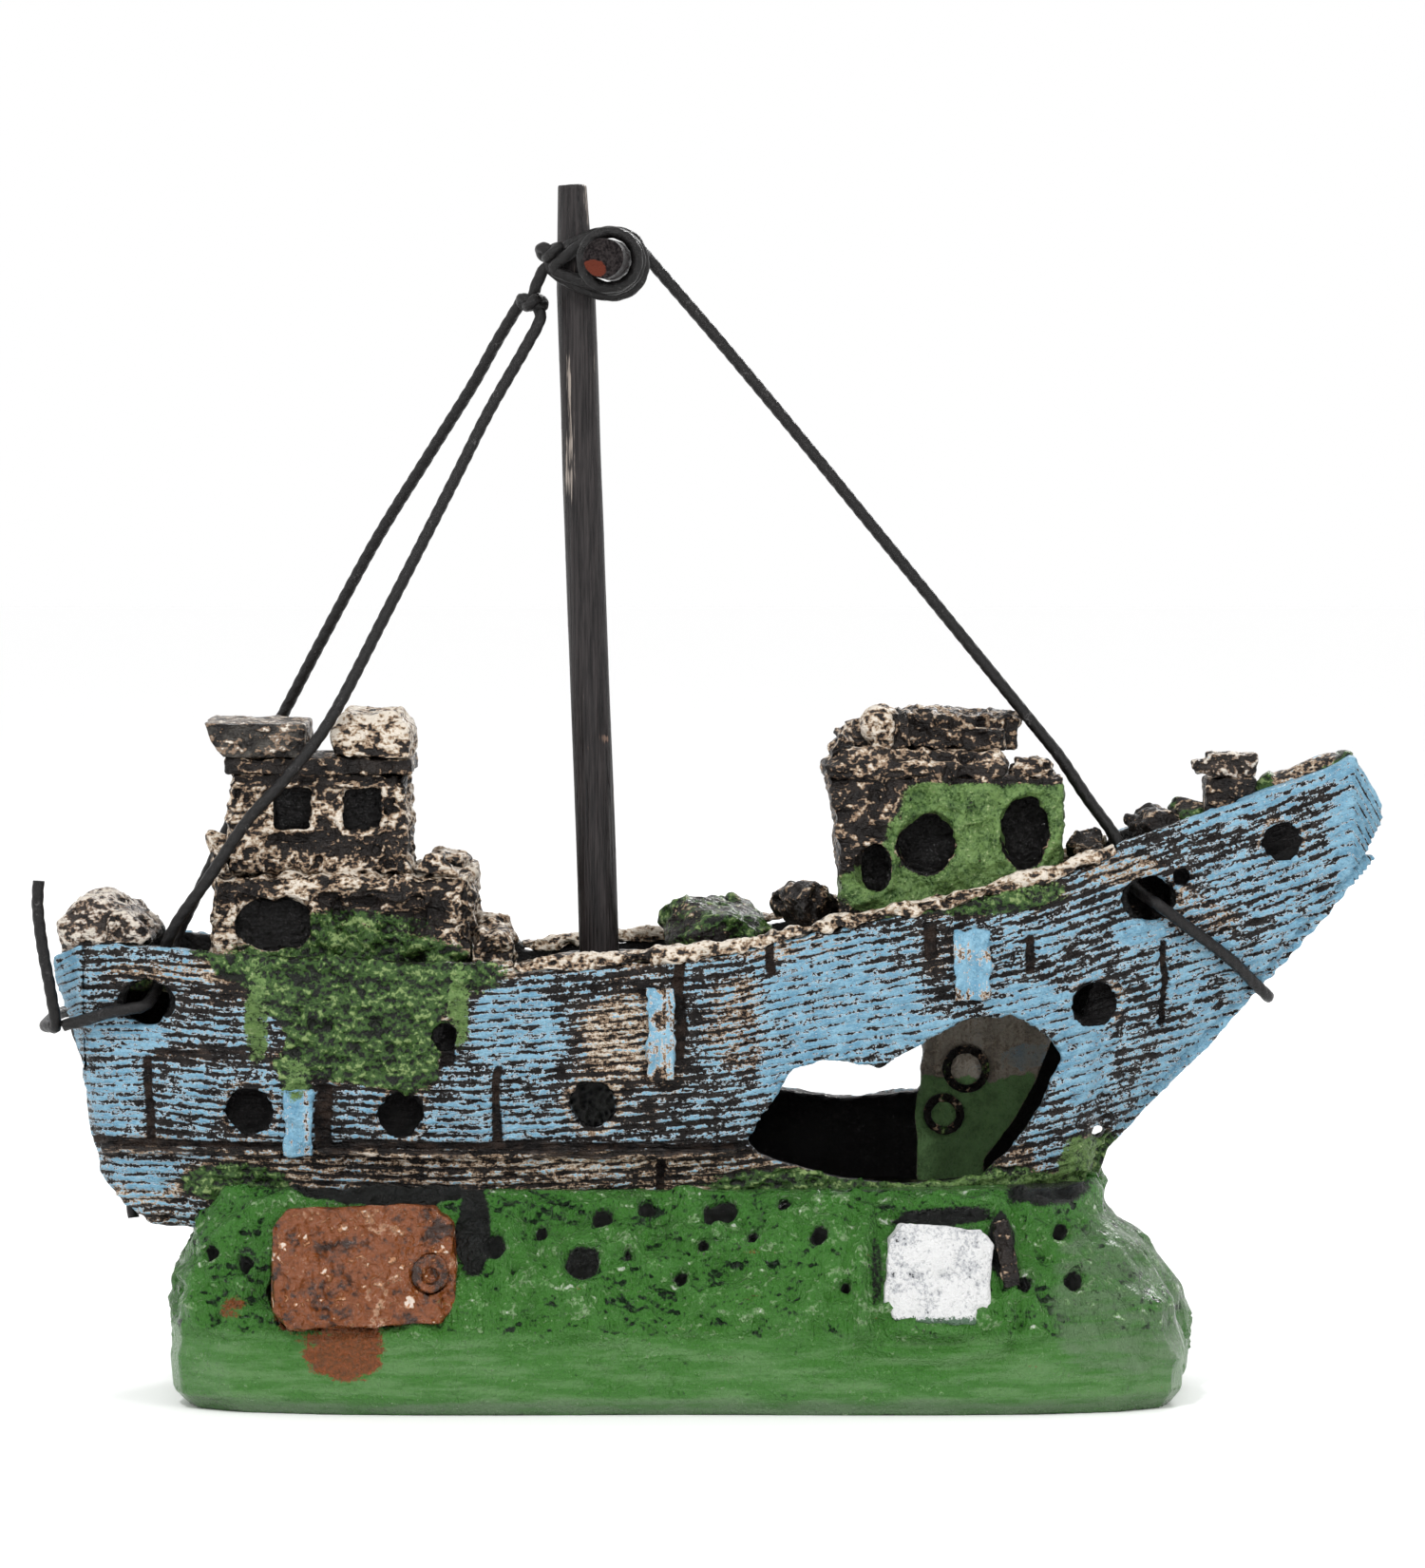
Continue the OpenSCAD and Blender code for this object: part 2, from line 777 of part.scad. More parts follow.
// Half of the forestay: from the lashing down to the fore deck, inside the bow, out of the hawse
// hole and back along the planking to the stem
FORESTAY = [[-7.8, -2.5, 111.2], [-6.3, -0.8, 109.5], [0, -0.8, 102.2], [8, -1, 92.6], [16, -1.2, 82.8],
            [24, -1.4, 73], [31, -2, 64.4], [33, -2.5, 61.9], [35.6, -3.6, 58], [38.2, -4.9, 54.4],
            [39.1, -5.6, 52], [39.8, -6.6, 49.9], [40.9, -8.4, 48.9], [42, -10.2, 48.2],
            [43.2, -10, 47.3], [46.2, -7.9, 45], [49.4, -5.3, 42.5], [51.6, -2.9, 40.3],
            [53, -1.2, 38.9], [53.3, 0, 38.6]];
BACKSTAY_STARBOARD = [[-17.6, -1.6, 108.8], [-18.3, -1.4, 106.6], [-17.6, -1.7, 104.8],
                      [-19, -2, 101.9], [-22.6, -3.1, 95.6], [-26, -4.8, 88.8], [-32, -7.8, 77],
                      [-37.6, -10.6, 66.2], [-41.8, -11.9, 60.6], [-45.6, -12.4, 56.4],
                      [-49.4, -12.5, 50.8], [-52.4, -11.7, 46.6], [-53.8, -10.9, 43.6],
                      [-54.2, -10.6, 41.2], [-54.7, -12.3, 39.6], [-55.4, -14.4, 38.7],
                      [-56.8, -14.8, 38.4], [-58.8, -14.1, 38], [-61.2, -12.7, 37.2],
                      [-63.4, -11.9, 36.6]];
BACKSTAY_PORT = [[-19.3, 0.3, 106.8], [-19.7, 0.6, 106], [-21.9, 2, 102.4], [-24.4, 3.4, 98],
                 [-28.6, 5.6, 91.4], [-34, 8.2, 82.8], [-39.6, 10.4, 72.6], [-43.2, 11.6, 65.8],
                 [-46, 12.2, 60.8], [-48.6, 12.5, 54.8], [-50.6, 12.6, 50.4], [-52.6, 11.5, 46.2],
                 [-53.8, 10.9, 43.6], [-54.2, 10.6, 41.2], [-54.7, 12.3, 39.6], [-55.4, 14.4, 38.7],
                 [-56.8, 14.8, 38.4], [-58.8, 14.1, 38], [-61.2, 12.7, 37.2], [-63.4, 11.9, 36.6]];
SLING = [[-64.7, -10.6, 36.4], [-65.4, -8.4, 36.3], [-65.5, -4.5, 36.3], [-65.5, 0, 36.3], [-65.5, 4.5, 36.3],
         [-65.4, 8.4, 36.3], [-64.7, 10.6, 36.4]];
TAIL_UPPER = [[-64.2, -12.1, 37.8], [-64.7, -12.6, 40.4], [-65.2, -12.9, 43.2], [-65.6, -13.1, 46],
              [-65.8, -13.2, 48.4], [-65.7, -13.2, 50.6]];
TAIL_LOWER = [[-63.9, 12.2, 35.2], [-62.8, 12.3, 32], [-61.4, 12.2, 28], [-60, 11.8, 24], [-58.8, 11.4, 20.2],
              [-58.3, 11.2, 17.6], [-58.1, 11.1, 16]];

module forestay() {
  color("#222222") cord(concat(FORESTAY, reversed(mirrored([for (i = [1:len(FORESTAY) - 2]) FORESTAY[i]]))));
}

module backstay_starboard() {
  color("#222222") cord(BACKSTAY_STARBOARD, [1]);
}

module backstay_port() {
  color("#222222") cord(BACKSTAY_PORT, [1]);
}

// The cord across the stern, with a knot at each corner
module stern_sling() {
  color("#222222") cord(SLING, [0, len(SLING) - 1]);
}

module stern_tail_upper() {
  color("#222222") cord(TAIL_UPPER);
}

module stern_tail_lower() {
  color("#222222") cord(TAIL_LOWER);
}

// ---- Air line ----

inlet_y = reef_half - 0.6;
bore_r = 1.2;
stub_r = 2.8;       // radius of the inlet where it is bonded in the reef
nipple_r = 1.5;
nipple_len = 9;
recess = 11;        // width and height of the hose's recess in the reef

// The recess behind the reef, in which the hose pushes onto the spigot
module hose_recess() {
  box([inlet.x - recess / 2, inlet_y - spigot_len, inlet.z - recess / 2],
      [inlet.x + recess / 2, inlet_y + big, inlet.z + recess / 2]);
}

// The way of the air: in from the back of the reef, then up through the hull's floor
module air_pipe_path() {
  translate([inlet.x, riser_y - stub_r - fit, inlet.z])
    rotate([-90, 0, 0]) cylinder(h = big, r = stub_r + fit);
  translate([inlet.x, riser_y, inlet.z]) cylinder(h = 14, r = spigot_r + fit);
}

module air_inlet() {
  shoulder_y = inlet_y - spigot_len;
  color("whitesmoke") difference() {
    translate([inlet.x, 0, inlet.z]) rotate([-90, 0, 0]) {
      translate([0, 0, riser_y - stub_r]) cylinder(h = shoulder_y - riser_y + stub_r, r = stub_r);
      translate([0, 0, shoulder_y]) cylinder(h = spigot_len, r = spigot_r);
    }
    translate([inlet.x, riser_y, inlet.z]) rotate([-90, 0, 0]) cylinder(h = big, r = bore_r);
    translate([inlet.x, riser_y, inlet.z]) cylinder(h = 9, r = bore_r);
    translate([inlet.x, riser_y, inlet.z + 1.4]) cylinder(h = 9, r = spigot_r + fit);
  }
}

// The riser pipe stands in the inlet, passes through the hull's floor and turns forward to the nipple
module air_riser() {
  foot = inlet.z + 1.4 + fit;
  color("whitesmoke") difference() {
    union() {
      translate([inlet.x, riser_y, foot]) cylinder(h = stone_z + spigot_r - foot, r = spigot_r);
      translate([inlet.x, riser_y, stone_z]) rotate([0, 90, 0]) cylinder(h = nipple_len, r = nipple_r);
    }
    translate([inlet.x, riser_y, foot - 1]) cylinder(h = stone_z - foot + 1, r = bore_r);
    translate([inlet.x, riser_y, stone_z]) rotate([0, 90, 0]) cylinder(h = big, r = 0.8);
  }
}

module air_stone() {
  color("lightgray") translate([inlet.x + nipple_len - 4, riser_y, stone_z]) rotate([0, 90, 0]) difference() {
    cylinder(h = stone_len, r = stone_r);
    translate([0, 0, -1]) cylinder(h = 5.5, r = nipple_r + fit);
  }
}

reef_base();
brown_crate();
brown_crate_hasp();
silver_crate();
crate_bar();
hull_starboard();
hull_port();
stem_post();
transom();
stern_rail();
gunwale_starboard();
gunwale_port();
wale_starboard();
wale_port();
fender_aft();
fender_waist();
fender_fore();
aft_deck();
main_deck();
fore_deck();
stern_web();
bow_web();
hold_rings();
aft_cabin();
wheelhouse();
wheelhouse_eave();
roof_slab_aft();
roof_slab_fore();
corner_post();
broken_bulwark();
aft_rubble();
fore_cabin();
fore_cabin_roof();
roof_planks();
roof_rubble();
skull();
corner_stub();
deck_boulder();
deck_debris();
bow_debris();
bow_boulder();
bow_moss();
bollard_base();
bollard_cap();
mast_step();
mast();
yard();
lashing_inner();
lashing_outer();
forestay();
backstay_starboard();
backstay_port();
stern_sling();
stern_tail_upper();
stern_tail_lower();
air_inlet();
air_riser();
air_stone();
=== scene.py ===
import math

import bpy
import numpy as np
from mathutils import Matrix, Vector


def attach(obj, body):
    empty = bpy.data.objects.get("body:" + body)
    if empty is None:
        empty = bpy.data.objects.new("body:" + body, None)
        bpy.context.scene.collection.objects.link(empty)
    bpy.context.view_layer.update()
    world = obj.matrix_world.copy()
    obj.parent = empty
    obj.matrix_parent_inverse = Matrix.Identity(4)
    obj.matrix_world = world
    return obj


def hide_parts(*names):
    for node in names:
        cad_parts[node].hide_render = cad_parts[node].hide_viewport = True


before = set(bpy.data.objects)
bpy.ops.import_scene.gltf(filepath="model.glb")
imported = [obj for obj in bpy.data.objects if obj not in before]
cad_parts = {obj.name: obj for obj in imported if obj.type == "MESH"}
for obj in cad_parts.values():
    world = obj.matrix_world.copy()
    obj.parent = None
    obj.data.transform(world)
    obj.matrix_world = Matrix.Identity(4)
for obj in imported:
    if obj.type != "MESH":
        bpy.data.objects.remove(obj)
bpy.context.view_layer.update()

MM = 0.001
scene = bpy.context.scene

# ---- The studio ----
# A long lens looks level at the starboard side. One big soft light hangs above and in front, with a
# weaker one on each side, over a plain pale floor.

LOOK_AT = Vector((-0.9, -6.0, 59.6)) * MM
LENS_DISTANCE = 0.95
LENS_RISE = math.radians(2.5)
FRAME_TALL = 151.8 * MM

camera = bpy.data.objects.new("camera", bpy.data.cameras.new("camera"))
scene.collection.objects.link(camera)
scene.camera = camera
toward = Vector((0, -math.cos(LENS_RISE), math.sin(LENS_RISE)))
camera.location = LOOK_AT + toward * LENS_DISTANCE
camera.rotation_euler = (-toward).to_track_quat("-Z", "Y").to_euler()
camera.data.lens = camera.data.sensor_width * LENS_DISTANCE / FRAME_TALL
camera.data.clip_start = 0.01
camera.data.clip_end = 20


def lamp(name, place, target, size, watts):
    light = bpy.data.lights.new(name, "AREA")
    light.size = size
    light.energy = watts
    holder = bpy.data.objects.new(name, light)
    holder.location = place
    holder.rotation_euler = (Vector(target) - Vector(place)).to_track_quat("-Z", "Y").to_euler()
    scene.collection.objects.link(holder)


lamp("key", (-0.22, -0.62, 0.66), (0, 0, 0.05), 0.08, 3.6)
lamp("glint", (0.45, -0.75, 0.35), (0, 0, 0.05), 0.06, 1.8)
lamp("left fill", (-0.9, -0.35, 0.3), (0, 0, 0.05), 0.1, 1.0)
lamp("back", (0.3, 0.9, 0.5), (0, 0, 0.06), 0.2, 2.6)

world = bpy.data.worlds.new("studio")
scene.world = world
world.use_nodes = True
walls = world.node_tree.nodes["Background"].inputs
walls["Color"].default_value = (1, 1, 1, 1)
walls["Strength"].default_value = 1.0
scene.view_settings.view_transform = "Standard"


class Value:
    """A number in a finish's node tree. Arithmetic on it adds Math nodes."""

    def __init__(self, finish, socket):
        self.finish = finish
        self.socket = socket

    def math(self, operation, *others):
        return self.finish.math(operation, self, *others)

    def __add__(self, other):
        return self.math("ADD", other)

    def __sub__(self, other):
        return self.math("SUBTRACT", other)

    def __mul__(self, other):
        return self.math("MULTIPLY", other)

    __radd__ = __add__
    __rmul__ = __mul__

    def __rsub__(self, other):
        return self.finish.math("SUBTRACT", other, self)

    def step(self, low, high):
        """0 below low and 1 above high, with a smooth rise between."""
        return self.finish.node("ShaderNodeMapRange", "Result", {"interpolation_type": "SMOOTHSTEP"},
                                {"Value": self, "From Min": low, "From Max": high})

    def ease(self, low, high):
        """Goes from low to high as this goes from 0 to 1."""
        return self * (high - low) + low


class Finish:
    """One material: a Principled shader and the nodes that feed it. Lengths are in millimetres."""

    def __init__(self, name):
        self.material = bpy.data.materials.new(name)
        self.material.use_nodes = True
        self.tree = self.material.node_tree
        self.shader = self.tree.nodes["Principled BSDF"]
        where = self.node("ShaderNodeTexCoord", "Object")
        self.place = self.node("ShaderNodeVectorMath", "Vector", {"operation": "SCALE"},
                               {0: where, "Scale": 1 / MM})

    def node(self, kind, out, settings={}, inputs={}):
        made = self.tree.nodes.new(kind)
        for key, value in settings.items():
            setattr(made, key, value)
        for key, value in inputs.items():
            self.feed(made.inputs[key], value)
        return Value(self, made.outputs[out])

    def feed(self, socket, value):
        if isinstance(value, Value):
            self.tree.links.new(value.socket, socket)
        elif isinstance(value, tuple) and len(value) == 3 and socket.type == "RGBA":
            socket.default_value = (*value, 1)
        else:
            socket.default_value = value

    def math(self, operation, *values):
        return self.node("ShaderNodeMath", "Value", {"operation": operation}, dict(enumerate(values)))

    def pattern(self, size, stretch=(1, 1, 1), shift=0.0, place=None, lift=0.0):
        """Where a pattern is looked up, so that one lump of it is that size, drawn out along each axis by
        stretch. Each shift gives another part of the pattern, and lift is a step up it in lumps."""
        return self.node("ShaderNodeMapping", "Vector", {}, {
            "Vector": place or self.place, "Scale": tuple(1 / (size * s) for s in stretch),
            "Location": (shift, shift * 0.7, shift * 1.3 + lift)})

    def noise(self, size, detail=2.0, rough=0.5, **where):
        """Noise from 0 to 1 with lumps of that size."""
        return self.node("ShaderNodeTexNoise", 0, {}, {"Vector": self.pattern(size, **where), "Scale": 1.0,
                                                       "Detail": detail, "Roughness": rough})

    def cells(self, size, shift):
        """Grains of that size: 0 at the middle of each, and more towards its edge."""
        return self.node("ShaderNodeTexVoronoi", "Distance", {},
                         {"Vector": self.pattern(size, shift=shift), "Scale": 1.0})

    def crest(self, size, width, **where):
        """Thin wandering ridges: 1 on a ridge, and less than 0 a little way off it."""
        return 1 - (self.noise(size, **where) - 0.5).math("ABSOLUTE") * (1 / width)

    def relief(self, size, **where):
        """Painted light from above on thick paint in lumps of that size: above 0 on the lit upper side of
        each and below 0 in the painted shade under it.
        """
        return self.noise(size, 2.0, 0.6, **where) - self.noise(size, 2.0, 0.6, lift=0.35, **where)

    def carried(self, name):
        """A value that the casting's mesh carries at each point."""
        return self.node("ShaderNodeAttribute", "Fac", {"attribute_name": name})

    def coat(self, mask, under, over):
        """The colour over where mask is 1, and under where it is 0."""
        return self.node("ShaderNodeMix", 2, {"data_type": "RGBA"}, {0: mask, 6: under, 7: over})

    def set(self, **values):
        for key, value in values.items():
            self.feed(self.shader.inputs[key.replace("_", " ")], value)

    def bump(self, height, depth):
        """Raises the surface by height times depth millimetres."""
        self.set(Normal=self.node("ShaderNodeBump", "Normal", {},
                                  {"Height": height, "Distance": depth * MM, "Strength": 1.0}))


STUDIO_LIFT = 0.66  # the lamps lift every paint, so each is mixed this much deeper


def srgb(r, g, b):
    """A paint from the 0 to 255 screen values that it should have in this light."""
    def linear(c):
        c = c / 255
        return c / 12.92 if c <= 0.04045 else ((c + 0.055) / 1.055) ** 2.4
    return tuple(linear(c) * STUDIO_LIFT for c in (r, g, b))


FLOOR_HALF = 3.0
floor_mesh = bpy.data.meshes.new("floor")
corners = [(x * FLOOR_HALF, y * FLOOR_HALF, 0) for x, y in ((-1, -1), (1, -1), (1, 1), (-1, 1))]
floor_mesh.from_pydata(corners, [], [(0, 1, 2, 3)])
floor = bpy.data.objects.new("floor", floor_mesh)
scene.collection.objects.link(floor)
floor_finish = Finish("floor card")
floor_finish.set(Base_Color=(0.99, 0.99, 0.99), Roughness=0.6)
floor_mesh.materials.append(floor_finish.material)

# ---- The reef ----
# The foot of the ornament is a block of cast polyester resin, modelled by hand as rock with weed on it
# and dipped in a glossy green paint. Its lowest band is smooth, where the mould was filled.


def lattice(cell, seed):
    """A number from -1 to 1 for each whole-number corner, mixed from its three numbers and the seed."""
    mixed = (cell[:, 0] * 73856093) ^ (cell[:, 1] * 19349663) ^ (cell[:, 2] * 83492791) ^ (seed * 265443576)
    mixed = (mixed ^ (mixed >> 13)) * 1274126177
    return ((mixed ^ (mixed >> 16)) & 0xFFFF) / 32767.5 - 1


def lumps(p, size, seed):
    """Smooth noise from -1 to 1 at points p in millimetres. Size may be one number or three."""
    q = p / np.asarray(size, float) + 0.37 * seed
    low = np.floor(q).astype(np.int64)
    f = q - low
    f = f * f * (3 - 2 * f)
    total = np.zeros(len(p))
    for corner in range(8):
        bit = np.array([corner & 1, corner >> 1 & 1, corner >> 2 & 1])
        weight = np.prod(np.where(bit, f, 1 - f), axis=1)
        total += weight * lattice(low + bit, seed)
    return total


def crags(p, size, seed, octaves=3):
    """Noise with finer and finer lumps on it."""
    size = np.asarray(size, float)
    return sum(lumps(p, size / 2 ** k, seed + 7 * k) / 2 ** k for k in range(octaves))


def rise(v, low, high):
    """0 below low and 1 above high, with a smooth rise between."""
    t = np.clip((v - low) / (high - low), 0, 1)
    return t * t * (3 - 2 * t)


def patch(p, x, z, rx, rz, soft=0.35):
    """1 inside an ellipse in X and Z, falling to 0 round its edge."""
    d = np.sqrt(((p[:, 0] - x) / rx) ** 2 + ((p[:, 2] - z) / rz) ** 2)
    return 1 - rise(d, 1 - soft, 1 + soft)


def between(v, low, high, soft=0.5):
    return rise(v, low - soft, low + soft) * (1 - rise(v, high - soft, high + soft))


def ridge(v, at, width):
    """1 where v is at that value, falling off to both sides over the width."""
    return np.exp(-((v - at) / width) ** 2)


def read_points(group, field):
    flat = np.empty(len(group) * 3)
    group.foreach_get(field, flat)
    return flat.reshape(-1, 3)


def new_piece(name, mesh, finish, nodes, body="wreck"):
    piece = bpy.data.objects.new(name, mesh)
    scene.collection.objects.link(piece)
    mesh.materials.clear()
    mesh.materials.append(finish.material)
    mesh.polygons.foreach_set("use_smooth", [True] * len(mesh.polygons))
    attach(piece, body)
    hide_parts(*nodes)
    return piece


def cast(name, node, voxel, carve, finish, slot, body="wreck"):
    """A casting in the place of the node: the same solid in a fine mesh, with the surface that carve
    gives it. carve(p, n) returns how far each point moves out, in millimetres, and what it carries."""
    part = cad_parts[node]
    mesh = bpy.data.meshes.new(name)
    mesh.from_pydata([part.matrix_world @ v.co / MM for v in part.data.vertices], [],
                     [list(f.vertices) for f in part.data.polygons])
    holder = bpy.data.objects.new(name + " blank", mesh)
    scene.collection.objects.link(holder)
    remesh = holder.modifiers.new("fine", "REMESH")
    remesh.mode = "VOXEL"
    remesh.voxel_size = voxel
    graph = bpy.context.evaluated_depsgraph_get()
    fine = bpy.data.meshes.new_from_object(holder.evaluated_get(graph), depsgraph=graph)
    bpy.data.objects.remove(holder)
    p = read_points(fine.vertices, "co")
    n = read_points(fine.vertex_normals, "vector")
    out, carried = carve(p, n)
    fine.vertices.foreach_set("co", ((p + n * out[:, None]) * MM).ravel())
    for key, values in carried.items():
        layer = fine.attributes.new(key, "FLOAT", "POINT")
        layer.data.foreach_set("value", np.asarray(values, float))
    fine.update()
    return new_piece(name, fine, finish, [node], body)


# The pale green and the dark green are also lit and shaded copies of the green, laid as painted light and
# painted shade
REEF_GREEN = srgb(70, 132, 50)
REEF_PALE_AND_LIT_GREEN = srgb(168, 196, 152)
REEF_DARK_AND_SHADE_GREEN = srgb(16, 40, 18)
REEF_BAND = srgb(104, 152, 88)
REEF_GREY = srgb(112, 138, 104)
PIT_BLACK = srgb(22, 24, 22)
CRATE_BROWN = srgb(152, 80, 34)
# Holes in the rock: X, Z and radius
REEF_PITS = [(-13.3, 14.4, 1.7), (-21.8, 15.8, 1.3), (-11.4, 18.6, 1.1), (-7.2, 19.6, 0.9),
             (-1.0, 18.8, 0.9), (-1.8, 15.9, 0.6), (-3.9, 12.8, 0.7), (0.3, 19.3, 1.2), (-17.2, 17.2, 0.8),
             (9.3, 16.8, 0.9), (3.0, 16.9, 0.6), (33.7, 12.6, 1.0), (28.9, 12.3, 0.7), (-9.0, 15.0, 0.5),
             (11.8, 12.0, 0.5), (-48.6, 14.6, 0.8), (-45.8, 14.2, 1.0), (32.4, 17.0, 0.8), (6.0, 19.6, 0.7)]
# Small round lumps among them
REEF_KNOBS = [(-10.9, 17.3, 1.1), (-16.4, 15.8, 1.3), (-0.2, 17.2, 0.9), (-15.6, 18.9, 0.8),
              (-6.0, 17.2, 0.7), (4.6, 18.6, 0.9), (-19.2, 13.0, 0.8), (-8.6, 20.0, 0.6), (8.0, 18.7, 0.8),
              (-4.6, 16.0, 0.5)]
# Deep shade beside and under the crates: X, Z, half length, half height, soft edge and how dark
REEF_SHADE = [(-32, 20.7, 9.5, 1.3, 0.2, 1), (-23.7, 17, 1.6, 4.2, 0.3, 1), (26.6, 15.8, 1.2, 3, 0.3, 1),
              (21, 18.6, 5, 0.9, 0.3, 0.8), (14.6, 13.5, 0.6, 4, 0.4, 0.6), (31, 20.5, 4, 1.6, 0.35, 0.8)]
SILVER_AT = (20.4, 13.0)
# The rock swells in rings round the silver crate: how far out, how wide and how high
SILVER_RINGS = [(1.32, 0.09, 0.55), (1.1, 0.09, -0.55), (1.52, 0.08, -0.3), (1.7, 0.08, 0.3)]


def carve_reef(p, n):
    x, y, z = p.T
    side = 1 - rise(np.abs(n[:, 2]), 0.75, 0.95)
    rocky = rise(z, 6.4, 8.4) * side
    fold = 1 - 2 * np.abs(lumps(p, [9, 9, 3.6], 5))
    crease = 1 - 2 * np.abs(lumps(p, [4.2, 4.2, 2.4], 9))
    tuft = 1 - 2 * np.abs(lumps(p + np.outer(z, [0.3, 0, 0]), [1.3, 1.3, 3.6], 3))
    fine = lumps(p, [1.3, 1.3, 1.0], 11)
    boulder = patch(p, 38.5, 10.5, 7.5, 9, 0.2) * side * rise(z, 2, 5)
    facet = 1 - 2.4 * np.abs(lumps(p + np.outer(z, [0.9, 0, 0]), [5.5, 5.5, 5.5], 21))
    ledge = ridge(z, 7.2 + 1.1 * lumps(p, [9, 9, 9], 12), 0.8) * side
    high = rocky * (1 - boulder)
    out = high * (0.7 * fold + 0.6 * crease + 0.42 * tuft + 0.16 * fine)
    out += 0.25 * side * lumps(p, [8, 8, 5], 14)
    out += 0.45 * ledge * (1 - boulder) + boulder * (0.5 * facet + 0.25 * tuft)
    sparse = rise(tuft, 0.75, 1.0) * rise(lumps(p, 7, 15), 0.1, 0.5)
    out += 0.3 * (1 - rocky) * side * rise(z, 1.5, 3) * sparse
    pit = np.zeros(len(p))
    for px, pz, r in REEF_PITS:
        wavy = 1 + 0.18 * lumps(p, 1.1, 17)
        d = np.hypot(x - px, z - pz) / r * wavy
        pit = np.maximum(pit, 1 - rise(d, 0.6, 1.1))
        out += 0.2 * ridge(d, 1.3, 0.25) * side
    out -= 1.4 * pit * side
    for px, pz, r in REEF_KNOBS:
        d = np.hypot(x - px, z - pz) / r
        dome = 0.55 * np.sqrt(np.clip(1 - d * d, 0, 1)) - 0.25 * ridge(d, 1.15, 0.2)
        out += side * dome * (y < 0)
    off_x, off_z = x - SILVER_AT[0], z - SILVER_AT[1]
    ring = 0.6 * np.maximum(np.abs(off_x) / 5.2, np.abs(off_z) / 5.2) + 0.4 * np.hypot(off_x, off_z) / 6
    near = side * (y < 0) * rise(-n[:, 1], 0.2, 0.5)
    for at, width, height in SILVER_RINGS:
        out += near * height * ridge(ring, at, width)
    under = rise(-n[:, 2], 0.5, 0.9)
    out = np.where(z < 0.6, np.minimum(out, 0), out) * (1 - under)
    brown = np.maximum(patch(p, -36.4, 6.6, 4.4, 3.2, 0.3), patch(p, -37.5, 9, 5, 2, 0.3))
    brown = np.maximum(brown, 0.45 * patch(p, -46.8, 10.5, 1.5, 2))
    brown = brown * (y < 0) * (0.9 + 0.45 * crags(p, 2.8, 19))
    # Painted shade beside and under the crates, carried with the pits so that it is painted black too
    shadow = np.maximum.reduce([amount * patch(p, *place) for *place, amount in REEF_SHADE]) * (y < 0)
    height = 0.45 * fold + 0.4 * crease + 0.25 * tuft + 0.25 * fine
    height = np.where(boulder > 0.5, 0.7 * facet + 0.3 * tuft, height) * side
    return out, {"height": height, "pit": np.maximum(pit, 0.9 * shadow), "brown": brown,
                 "band": (1 - rise(z, 6.6, 8.2)) * side,
                 "grey": np.maximum(boulder * 0.7, 0.8 * (1 - rise(z, 0.6, 2.6)))}


reef = Finish("green reef paint")
height = reef.carried("height")
band = reef.carried("band")
blades = reef.noise(0.5, 3, 0.6, stretch=(1, 1, 3.6), shift=3) - 0.5
speck = reef.noise(0.35, 3, 0.65, shift=9) - 0.5
wash = reef.noise(5, 3, 0.55, shift=5) - 0.5
# Painted light from above: lit on the upper side of each lump of paint, with painted shade under it
painted_toplight = reef.relief(2.0, stretch=(1.2, 1, 1), shift=41) + reef.relief(0.9, shift=43) * 0.7
painted_toplight = painted_toplight * (1 - band * 0.6)
# The tone is painted light and shade together with random tone: lighter on the rock's heights and lit
# lumps, darker in the hollows and under lumps. The dark, mid and pale greens below follow it.
tone = height * 0.42 * (1 - band) + blades * 0.9 + speck * 0.8 + wash * 0.8 + band * 0.2 + painted_toplight * 2.0
green = reef.coat((tone + 0.42).step(0.0, 0.42), REEF_DARK_AND_SHADE_GREEN, REEF_GREEN)
green = reef.coat((tone + speck * 0.8).step(0.4, 0.7) * 0.6, green, srgb(128, 178, 106))
green = reef.coat((tone + speck * 1.2).step(0.6, 0.9) * 0.8, green, REEF_PALE_AND_LIT_GREEN)
smear = reef.noise(1.6, 4, 0.6, stretch=(4, 4, 0.6), shift=2) - 0.5
green = reef.coat(band * (smear * 3 + 0.5).step(0.2, 0.9), green, REEF_BAND)
green = reef.coat((reef.carried("grey") + smear * 1.6).step(0.3, 0.9) * 0.7, green, REEF_GREY)
# Painted shade under the lumps of paint, in the dark green
painted_shade_below = (0 - painted_toplight - height * 0.03 + speck * 0.2).step(0.15, 0.26)
green = reef.coat(painted_shade_below * 0.65 * (1 - band), green, REEF_DARK_AND_SHADE_GREEN)
# Painted sheen where the painted light is brightest: pale green patches, and near-white glints at the top
painted_sheen = painted_toplight + speck * 0.3 + wash * 0.15
painted_sheen_patch = painted_sheen.step(0.15, 0.22)
green = reef.coat(painted_sheen_patch * 0.6, green, srgb(144, 188, 124))
green = reef.coat(painted_sheen.step(0.27, 0.31) * 0.85, green, srgb(228, 238, 222))
grit = (speck * 1.2 + wash * 0.9 + blades * 0.7).step(0.26, 0.34)
green = reef.coat(grit * 0.8 * (1 - band * 0.7), green, PIT_BLACK)
drip = (reef.carried("brown") + speck * 0.9 + smear * 1.5 + wash * 0.8).step(0.4, 0.65)
green = reef.coat(drip, green, reef.coat((speck + 0.5).step(0.3, 0.7), srgb(104, 66, 34), CRATE_BROWN))
